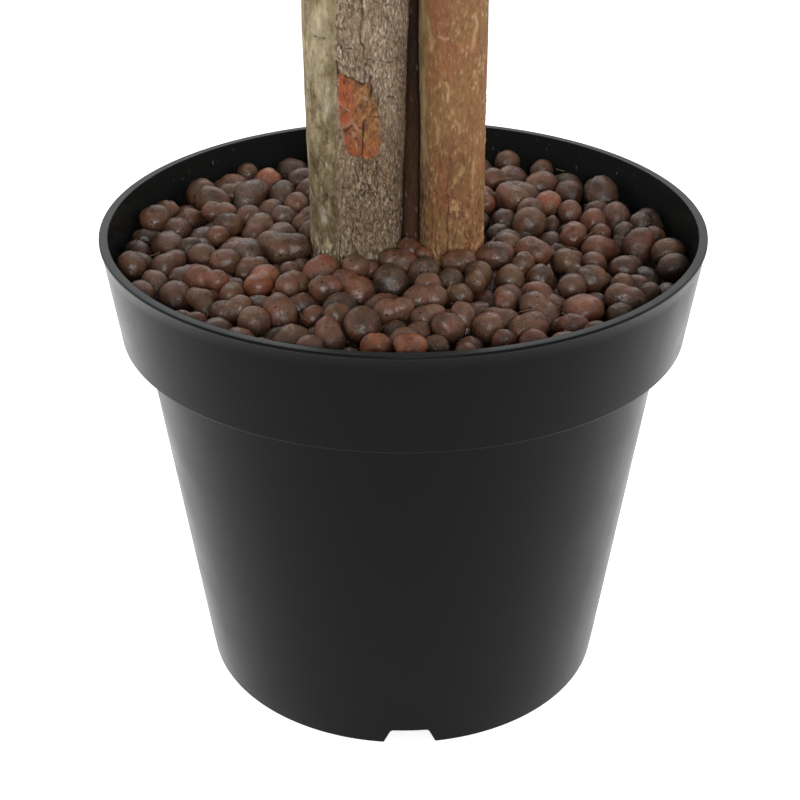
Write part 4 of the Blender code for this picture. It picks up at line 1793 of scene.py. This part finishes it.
    def stripped_surface(self, skin: Skin) -> Array:
        """Shape the orange-brown trunk's flakes, hairs and crust.

        Args:
            skin: The surface, which gets its values.

        Returns:
            The relief in millimetres.
        """
        height = skin.height
        edge = -55.0 + 8.0 * skin.grain.smooth(skin.points * [0, 0, 1], 8.0)
        strip = 0.85 * ease(edge + 7.0, edge - 6.0, skin.turn) * ease(-150.0, -138.0, skin.turn)
        lift = 0.35 * skin.bumps(13.0, 36.0) + 0.12 * skin.bumps(4.0, 12.0)
        flakes = ease(0.20, 0.52, skin.layers(3, 1.2, 2.6, 4.0))
        flakes *= ease(-0.1, 0.4, skin.bumps(6.0, 12.0, 8.0))
        hairs = np.exp(-((skin.bumps(1.3, 11.0, 12.0) / 0.035) ** 2))
        hairs *= ease(0.1, 0.5, skin.bumps(4.0, 9.0, 20.0))
        crust = ease(0.10, 0.5, skin.layers(3, 1.5, 3.0, 6.0)) * ease(50.0, 26.0, height)
        lift += 0.24 * flakes + 0.10 * skin.layers(2, 0.7, 6.0) - 0.22 * hairs + 0.15 * crust
        skin.values = {
            "strip": strip,
            "wound": 0.55 * ease(0.15, 0.65, skin.bumps(9.0, 17.0, 17.0)),
            # painted shade: this value has a floor of 0.21 from about 104 mm up, darkening the trunk's upper part
            "fissure": np.clip(np.maximum(0.40 * hairs, 0.60 * crust), 0.21 * ease(62.0, 104.0, height), 1.0),
            "fleck": 0.55 * flakes,
            "across": 0.5 + 0.5 * skin.bumps(4.0),
            "low": ease(74.0, 4.0, height + 12.0 * skin.layers(2, 8.0)),
        }
        return lift


@dataclass
class SlimStem:
    """The thin dark stem that stands between the trunks."""

    limb: Limb = SLIM_STEM
    seed: int = 71
    sides: int = 30

    def build(self) -> None:
        """Shape and dress the stem."""
        length = self.limb.tip[2] - self.limb.foot[2]
        low, high = np.arange(-0.006, 0.118, 0.0016), np.arange(0.118, length, 0.004)
        share = np.concatenate([low, high, [length]]) / length
        line = self.limb.centre(share)
        points, faces = tube_grid(line, self.limb.radius(share), self.sides)
        skin = Skin(Grain(self.seed), points / MM)
        lift = 0.10 * skin.bumps(2.2, 13.0) + 0.05 * skin.bumps(1.3)
        points = lift_off(points, line, self.sides, lift)
        specks = ease(0.66, 0.80, skin.bumps(1.9, shift=5.0))
        values = {title: np.zeros(len(points)) for title in ("strip", "wound", "across")}
        # painted light: the low value makes the stem lighter towards its foot, where more light reaches it from the
        # pebbles
        values["low"] = ease(95.0, 8.0, np.repeat(share, self.sides) * length / MM)
        values["fleck"] = 0.8 * specks
        values["fissure"] = 0.4 * ease(0.2, 0.7, skin.bumps(1.1, 8.0))
        points, faces, values = close_ends(points, faces, self.sides, values)
        # The lighter foot colour is the painted light at the stem's foot.
        finish = Bark("dark_stem_bark", light="#2f1e13", dark="#20140d", warm="#2c1b11", crack_and_shade="#120b07",
                      fleck="#7d6e61", foot="#503826", grain_mm=1.6, speckle=0.22, cracked=0.0, gloss=0.15)
        piece = mesh_object("slim_stem_bark", points, faces, finish.make(), values)
        settle_piece(piece, "slim_stem")


@dataclass
class Fork:
    """The boughs that carry the trunks on into the ball."""

    seed: int = 88
    columns: int = 44
    rows: int = 90
    inside_mm: float = 14.0
    leaders: tuple = (TRUNK_LEFT, TRUNK_RIGHT)

    def build(self) -> None:
        """Make each bough with its collar where it leaves the trunk."""
        finish = Bark("bough_bark", light="#8d7a63", dark="#65543f", warm="#7a6247", fleck="#a89a85",
                      speckle=0.5, cracked=0.5).make()
        for index, limb in enumerate(BOUGHS):
            share = np.linspace(0.0, 1.0, self.rows)
            length_mm = np.linalg.norm(np.array(limb.tip) - np.array(limb.foot)) / MM
            line, radii, along = limb.centre(share), limb.radius(share), share * length_mm
            if index < len(self.leaders):
                line, radii, along = self.lead_in(self.leaders[index], line, radii, along)
            else:
                radii = radii * (1.0 + 0.30 * ease(56.0, 20.0, along))
            points, faces = tube_grid(line, radii, self.columns)
            skin, along = Skin(Grain(self.seed + index), points / MM), np.repeat(along, self.columns)
            wrinkles = skin.layers(3, 1.5, 3.4)
            rings = np.sin(along / 2.2 + 2.0 * skin.bumps(9.0))
            lift = 0.45 * skin.bumps(9.0) * ease(-9.0, 20.0, along) + 0.28 * wrinkles
            lift += (0.07 + 0.16 * ease(60.0, 24.0, along) * (index >= len(self.leaders))) * rings
            points = lift_off(points, line, self.columns, lift)
            values = {title: np.zeros(len(points)) for title in ("strip", "low")}
            bared = ease(64.0, 8.0, along + 24.0 * skin.layers(3, 5.0, 12.0))
            values["wound"] = 0.92 * bared * (limb.foot[0] > 0.0)
            values["across"] = np.full(len(points), 0.65)
            values["fissure"] = 0.6 * ease(0.1, 0.65, -wrinkles) * (1.0 - 0.6 * values["wound"])
            values["fleck"] = 0.5 * ease(0.25, 0.7, skin.bumps(1.2, 2.2, 4.0))
            points, faces, values = close_ends(points, faces, self.columns, values)
            piece = mesh_object(limb.name + "_bark", points, faces, finish, values)
            settle_piece(piece, limb.name)

    def lead_in(self, trunk: Limb, line: Array, radii: Array, along: Array) -> tuple:
        """Let a leader grow out of its trunk: it starts inside the top and bends away gently.

        Args:
            trunk: The trunk it carries on.
            line: The leader's centre line.
            radii: Its radii.
            along: Millimetres from the trunk's top at each point.

        Returns:
            The line, radii and distances with the part inside the trunk added.
        """
        below = np.arange(-self.inside_mm, 0.0, 1.3)
        length_mm = (trunk.tip[2] - trunk.foot[2]) / MM
        line = np.vstack([trunk.centre(1.0 + below / length_mm), line])
        for _ in range(60):
            line[1:-1] += 0.25 * (line[:-2] + line[2:] - 2.0 * line[1:-1])
        along = np.concatenate([below, along])
        radii = np.concatenate([np.full(len(below), radii[0]), radii])
        flush = trunk.tip_radius * (1.0 - 0.5 * trunk.dent) - 0.25 * MM
        return line, radii + (flush - radii) * ease(40.0, -2.0, along), along


# ------------ crown
@dataclass
class Crown:
    """A clipped ball: boughs branch into twigs by a seeded rule, and each twig bears a leaf spray."""

    seed: int = 5
    reach: float = CROWN_RADIUS - 0.002
    lump: float = 0.006
    waves: tuple = ((5.0, 4.0, 4.5), (1.3, 0.4, 0.5 * math.pi))  # turns and shifts of the lumps
    inner: tuple = (30, 0.36, 0.0046, 8)  # how many, share of the ball's radius, end radius, sides
    outer: tuple = (150, 0.60, 0.0027, 6)
    sprays: tuple = ((900, 0.0), (260, 0.045))  # how many end how deep
    leaves_per_spray: int = 9
    leaf_length: float = 0.060
    leaf_width: float = 0.40
    spray_length: float = 0.052
    clear_below: float = math.radians(13.0)
    leaf_bends: tuple = (  # droop, fold and phase of the ripple
        (0.10, 0.20, 0.3), (0.24, 0.30, 1.1), (-0.08, 0.24, 2.0), (0.17, 0.40, 2.9), (0.34, 0.16, 4.2))
    leaf_stations: tuple = (-0.10, 0.0, 0.09, 0.24, 0.44, 0.64, 0.81, 0.93, 1.0)
    tints: tuple = (  # name, share, the rib's colour, and the colours above, in the shade and beneath
        ("old", 0.22, "#5b7639", "#2b4a1c", "#1d3614"),
        ("deep", 0.23, "#678442", "#355820", "#274418"),
        ("mid", 0.23, "#76944a", "#426726", "#31511d", "#82966a"),
        ("fresh", 0.19, "#86a352", "#52782c", "#3d6122", "#869b66"),
        ("young", 0.13, "#a2b964", "#6c9138", "#52762c", "#93a873"),
    )

    def __post_init__(self) -> None:
        """Start the seeded generator and the heap of branches."""
        self.rng = np.random.default_rng(self.seed)
        self.wood = Heap()

    def build(self) -> None:
        """Grow the branches, then set the sprays on their ends."""
        roots = [(Vector(limb.tip), (Vector(limb.tip) - Vector(limb.foot)).normalized(), limb.tip_radius)
                 for limb in (*BOUGHS, SLIM_STEM)]
        ends = self.grow(self.grow(roots, *self.inner), *self.outer)
        titles, chances, *_ = zip(*self.tints)
        places: dict = {title: [] for title in titles}
        for count, depth in self.sprays:
            for index in range(count):
                direction = self.direction(index, count)
                if direction.angle(Vector((0.0, 0.0, -1.0))) < self.clear_below:
                    continue
                title = self.rng.choice(titles, p=np.array(chances) / sum(chances))
                self.spray(ends, direction, depth, places[title])
        finish = Bark("twig_bark", light="#6f6a45", dark="#4b4a2e", warm="#5d5536", speckle=0.2, cracked=0.0)
        settle_piece(self.wood.build("twigs", finish.make()), "foliage_ball")
        shapes = self.leaf_shapes()
        for title, _, rib, *colours in self.tints:
            finish = Leaf("bay_leaf_" + title, *colours).make()
            rib_finish = Leaf("bay_leaf_rib_" + title, rib, rib, "#9aa97c", 0.45).make()
            settle_piece(shapes.build("leaves_" + title, places[title], finish, rib_finish), "foliage_ball")
        shapes.clear()

    def direction(self, index: int, count: int) -> Vector:
        """Pick one of many even directions from the ball's centre, a little disturbed.

        Args:
            index: Which one.
            count: How many there are.

        Returns:
            The direction.
        """
        level = 1.0 - 2.0 * (index + 0.5) / count
        flat = math.sqrt(1.0 - level * level)
        turn = GOLDEN_TURN * index
        even = Vector((flat * math.cos(turn), flat * math.sin(turn), level))
        return (even + Vector(self.rng.normal(0.0, 0.55 / math.sqrt(count), 3))).normalized()

    def surface(self, direction: Vector) -> float:
        """The ball's radius in a direction, with shallow lumps left by the shears."""
        wave = math.prod(math.sin(turn * axis + shift) for axis, turn, shift in zip(direction, *self.waves))
        return self.reach - self.lump * (0.5 + 0.5 * wave)

    def grow(self, parents: list, count: int, share: float, radius: float, sides: int) -> list:
        """Grow one order of branches from their nearest parents.

        Args:
            parents: The (end, direction, radius) of each parent.
            count: How many branches to grow.
            share: How far out they end, as a share of the ball's radius.
            radius: The radius of their ends.
            sides: Sides of their tubes.

        Returns:
            The new ends, as parents are given.
        """
        ends = []
        for index in range(count):
            direction = self.direction(index, count)
            end = CROWN_CENTRE + direction * CROWN_RADIUS * share * self.rng.uniform(0.85, 1.12)
            parent = min(parents, key=lambda item: (item[0] - end).length - 0.02 * item[1].dot(direction))
            self.branch(parent, end, direction, (min(parent[2] * 0.8, radius * 1.7), radius), sides, 9)
            ends.append((end, direction, radius))
        return ends

    def branch(self, parent: tuple, end: Vector, direction: Vector, radii: tuple, sides: int,
               steps: int) -> None:
        """Grow one tapering branch, which leaves along its parent and ends pointing outwards.

        Args:
            parent: The (end, direction, radius) that it leaves from.
            end: Where it ends.
            direction: Which way it points there.
            radii: Its radius at the parent and at the end.
            sides: Sides of its tube.
            steps: Points along it.
        """
        span = (end - parent[0]).length
        kink = 0.5 * self.rng.normal(0.0, 0.10 * span, 3)
        start, heading, end, direction = map(np.array, (*parent[:2], end, direction))
        t = np.linspace(0.0, 1.0, steps)[:, None]
        line = start + (end - start) * (3 * t**2 - 2 * t**3) + kink * np.sin(math.pi * t)
        line += span * (0.8 * heading * (t**3 - 2 * t**2 + t) + 0.7 * direction * (t**3 - t**2))
        self.wood.add_tube(line, np.linspace(*radii, steps), sides)

    def spray(self, parents: list, direction: Vector, depth: float, places: list) -> None:
        """Grow one leafy shoot.

        Args:
            parents: The (end, direction, radius) of each branch that it may leave from.
            direction: Where it stands on the ball.
            depth: How far under the surface it ends.
            places: Where the form, spot, turn and size of each leaf go.
        """
        lean = (direction + Vector(self.rng.normal(0.0, 0.22, 3)) + Vector((0.0, 0.0, 0.12))).normalized()
        leaves = []
        start_turn = self.rng.uniform(0.0, 2.0 * math.pi)
        side = lean.orthogonal().normalized()
        front = lean.cross(side)
        for index in range(self.leaves_per_spray):
            t = (index + 0.6) / self.leaves_per_spray
            turn = start_turn + GOLDEN_TURN * index
            out = side * math.cos(turn) + front * math.sin(turn)
            tilt = math.radians(78.0 - 50.0 * t + self.rng.normal(0.0, 7.0))
            heading = lean * math.cos(tilt) + out * math.sin(tilt)
            normal = lean * math.sin(tilt) - out * math.cos(tilt)
            heading = (heading + Vector((0.0, 0.0, -0.10))).normalized()
            length = self.leaf_length * (1.05 - 0.42 * t**2) * self.rng.uniform(0.84, 1.14)
            leaves.append((lean * self.spray_length * t, heading, normal, length))
        tips = [offset + heading * length for offset, heading, _, length in leaves]
        furthest = max(tip.dot(direction) for tip in tips)
        base = CROWN_CENTRE + direction * (self.surface(direction) - depth - furthest)
        parent = min(parents, key=lambda item: (item[0] - base).length)
        self.branch(parent, base, lean, (0.0019, 0.0012), 5, 6)
        shoot = [base + lean * self.spray_length * t for t in (0.0, 0.4, 0.8, 1.0)]
        self.wood.add_tube(np.array(shoot), np.array([0.0012, 0.0010, 0.0008, 0.0003]), 5)
        for offset, heading, normal, length in leaves:
            spot = base + offset
            tip = spot + heading * length - CROWN_CENTRE
            limit = CROWN_RADIUS + 0.004
            if tip.length > limit:
                length *= max(0.45, 1.0 - (tip.length - limit) / length)
            roll = Matrix.Rotation(self.rng.normal(0.0, 0.30), 3, heading)
            up = roll @ (normal - heading * normal.dot(heading)).normalized()
            across = heading.cross(up)
            frame = Matrix((across, heading, up)).transposed()
            wide = length * self.rng.uniform(0.92, 1.10)
            places.append((int(self.rng.integers(0, 5)), spot, frame.to_euler(), (wide, length, length)))

    @staticmethod
    def outline(along: float) -> float:
        """Share of a leaf's full width at a share of its length: an ellipse with a drawn-out tip."""
        ellipse = math.sqrt(max(0.0, 1.0 - (2.0 * along - 1.0) ** 2))
        return ellipse * (1 - 0.55 * max(0, along - 0.62) / 0.38) * (1 - 0.25 * max(0, 0.3 - along) / 0.3)

    def leaf_shapes(self) -> Scatter:
        """Shape unit leaves along Y: arched halves folded up from a thin rib, in several bends.

        Returns:
            The shapes, ready for copying.
        """
        scatter = Scatter("bay_leaf")
        for index, (droop, fold, phase) in enumerate(self.leaf_bends):
            points, faces, ribs = [], [], []
            for t in self.leaf_stations:
                along = max(t, 0.0)
                rib = 0.011 * (1.0 - 0.75 * along) + 0.002
                half = max(self.leaf_width / 2.0 * self.outline(along) if 0 < t < 1 else 0.012, rib * 1.1)
                ripple = 0.026 * math.sin(8.0 * along + phase) * half / (self.leaf_width / 2.0)
                for x in (-half, -0.55 * half - 0.45 * rib, -rib, rib, 0.55 * half + 0.45 * rib, half):
                    out = (abs(x) - rib) / (half - rib)
                    lift = fold * (half - rib) * (1.35 * out - 0.60 * out * out)
                    points.append((x, t, lift - droop * along * along + math.copysign(ripple * out * out, x)))
            for row in range(len(self.leaf_stations) - 1):
                for column in range(5) if row else (2,):
                    corner = row * 6 + column
                    faces.append((corner, corner + 1, corner + 7, corner + 6))
                    ribs.append(column == 2)
            scatter.add_shape(index, points, faces, ribs)
        return scatter


# ------------ studio
@dataclass
class Studio:
    """A plain pale floor, soft boxes all round and a camera that looks down on the pot."""

    camera_spot: tuple = (-0.00133, -0.6322, 0.4645)
    camera_down_deg: float = 28.66
    lens_mm: float = 73.61
    sensor_mm: float = 36.0
    floor_size: float = 400.0
    world_strength: float = 0.43
    boxes: tuple = (
        ("left_box", (-1.12, 0.30, 0.56), (-0.30, 0.10, 0.0), 1.0, 0.7, 9.5, False),
        ("right_box", (1.12, 0.30, 0.56), (0.30, 0.10, 0.0), 1.0, 0.7, 8.5, False),
        ("front_box", (0.12, -1.55, 0.76), (0.0, 0.0, 0.30), 0.38, 0.30, 15.5),
        ("back_box", (0.0, 2.30, 1.42), (0.0, 0.0, 0.20), 2.4, 0.9, 12.0),
        ("top_box", (0.0, 0.7, 2.4), (0.0, 0.0, 0.7), 1.6, 1.2, 9.0),
    )

    def build(self) -> None:
        """Make floor, world, lights and camera."""
        half = self.floor_size / 2
        corners = half * np.array([(-1.0, -1.0, 0.0), (1.0, -1.0, 0.0), (1.0, 1.0, 0.0), (-1.0, 1.0, 0.0)])
        finish = StudioPaint("studio_floor").make()
        mesh_object("studio_floor", corners, np.array([[0, 1, 2, 3]]), finish)
        world = bpy.data.worlds.new("studio")
        world.use_nodes = True
        back = world.node_tree.nodes["Background"]
        back.inputs["Color"].default_value = (1.0, 1.0, 1.0, 1.0)
        back.inputs["Strength"].default_value = self.world_strength
        bpy.context.scene.world = world
        for box in self.boxes:
            self.light(*box)
        data = bpy.data.cameras.new("camera")
        data.lens = self.lens_mm
        data.sensor_width = self.sensor_mm
        data.clip_start = 0.01
        camera = bpy.data.objects.new("camera", data)
        camera.location = self.camera_spot
        camera.rotation_euler = (math.radians(90.0 - self.camera_down_deg), 0.0, 0.0)
        bpy.context.scene.collection.objects.link(camera)
        bpy.context.scene.camera = camera
        bpy.context.scene.view_settings.view_transform = "Standard"

    def light(self, name: str, spot: tuple, aim: tuple, width: float, height: float, watts: float,
              glossy: bool = True) -> None:
        """Add one soft box.

        Args:
            name: Its name.
            spot: Where it stands.
            aim: The point that it faces.
            width: Its width.
            height: Its height.
            watts: Its power.
            glossy: Whether it gives glints. One behind a polarising sheet gives none.
        """
        data = bpy.data.lights.new(name, "AREA")
        data.shape = "RECTANGLE"
        data.size, data.size_y = width, height
        data.energy = watts
        box = bpy.data.objects.new(name, data)
        box.location = spot
        box.visible_glossy = glossy
        box.rotation_euler = (Vector(aim) - Vector(spot)).to_track_quat("-Z", "Y").to_euler()
        bpy.context.scene.collection.objects.link(box)


def main() -> None:
    """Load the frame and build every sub-assembly."""
    logging.basicConfig(level=logging.INFO, format="%(name)s: %(message)s")
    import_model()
    Studio().build()
    Pot().build()
    PebbleBed().build()
    BarkedTrunk(TRUNK_LEFT, BarkKind.GREY, GREY_MARKS, GREY_BARK, "grey_bark", 11, 0.92, 92).build()
    BarkedTrunk(TRUNK_RIGHT, BarkKind.STRIPPED, BROWN_MARKS, BROWN_BARK, "brown_bark", 37, 1.35, 76).build()
    SlimStem().build()
    Fork().build()
    Crown().build()
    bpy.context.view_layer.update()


if __name__ == "__main__":
    main()
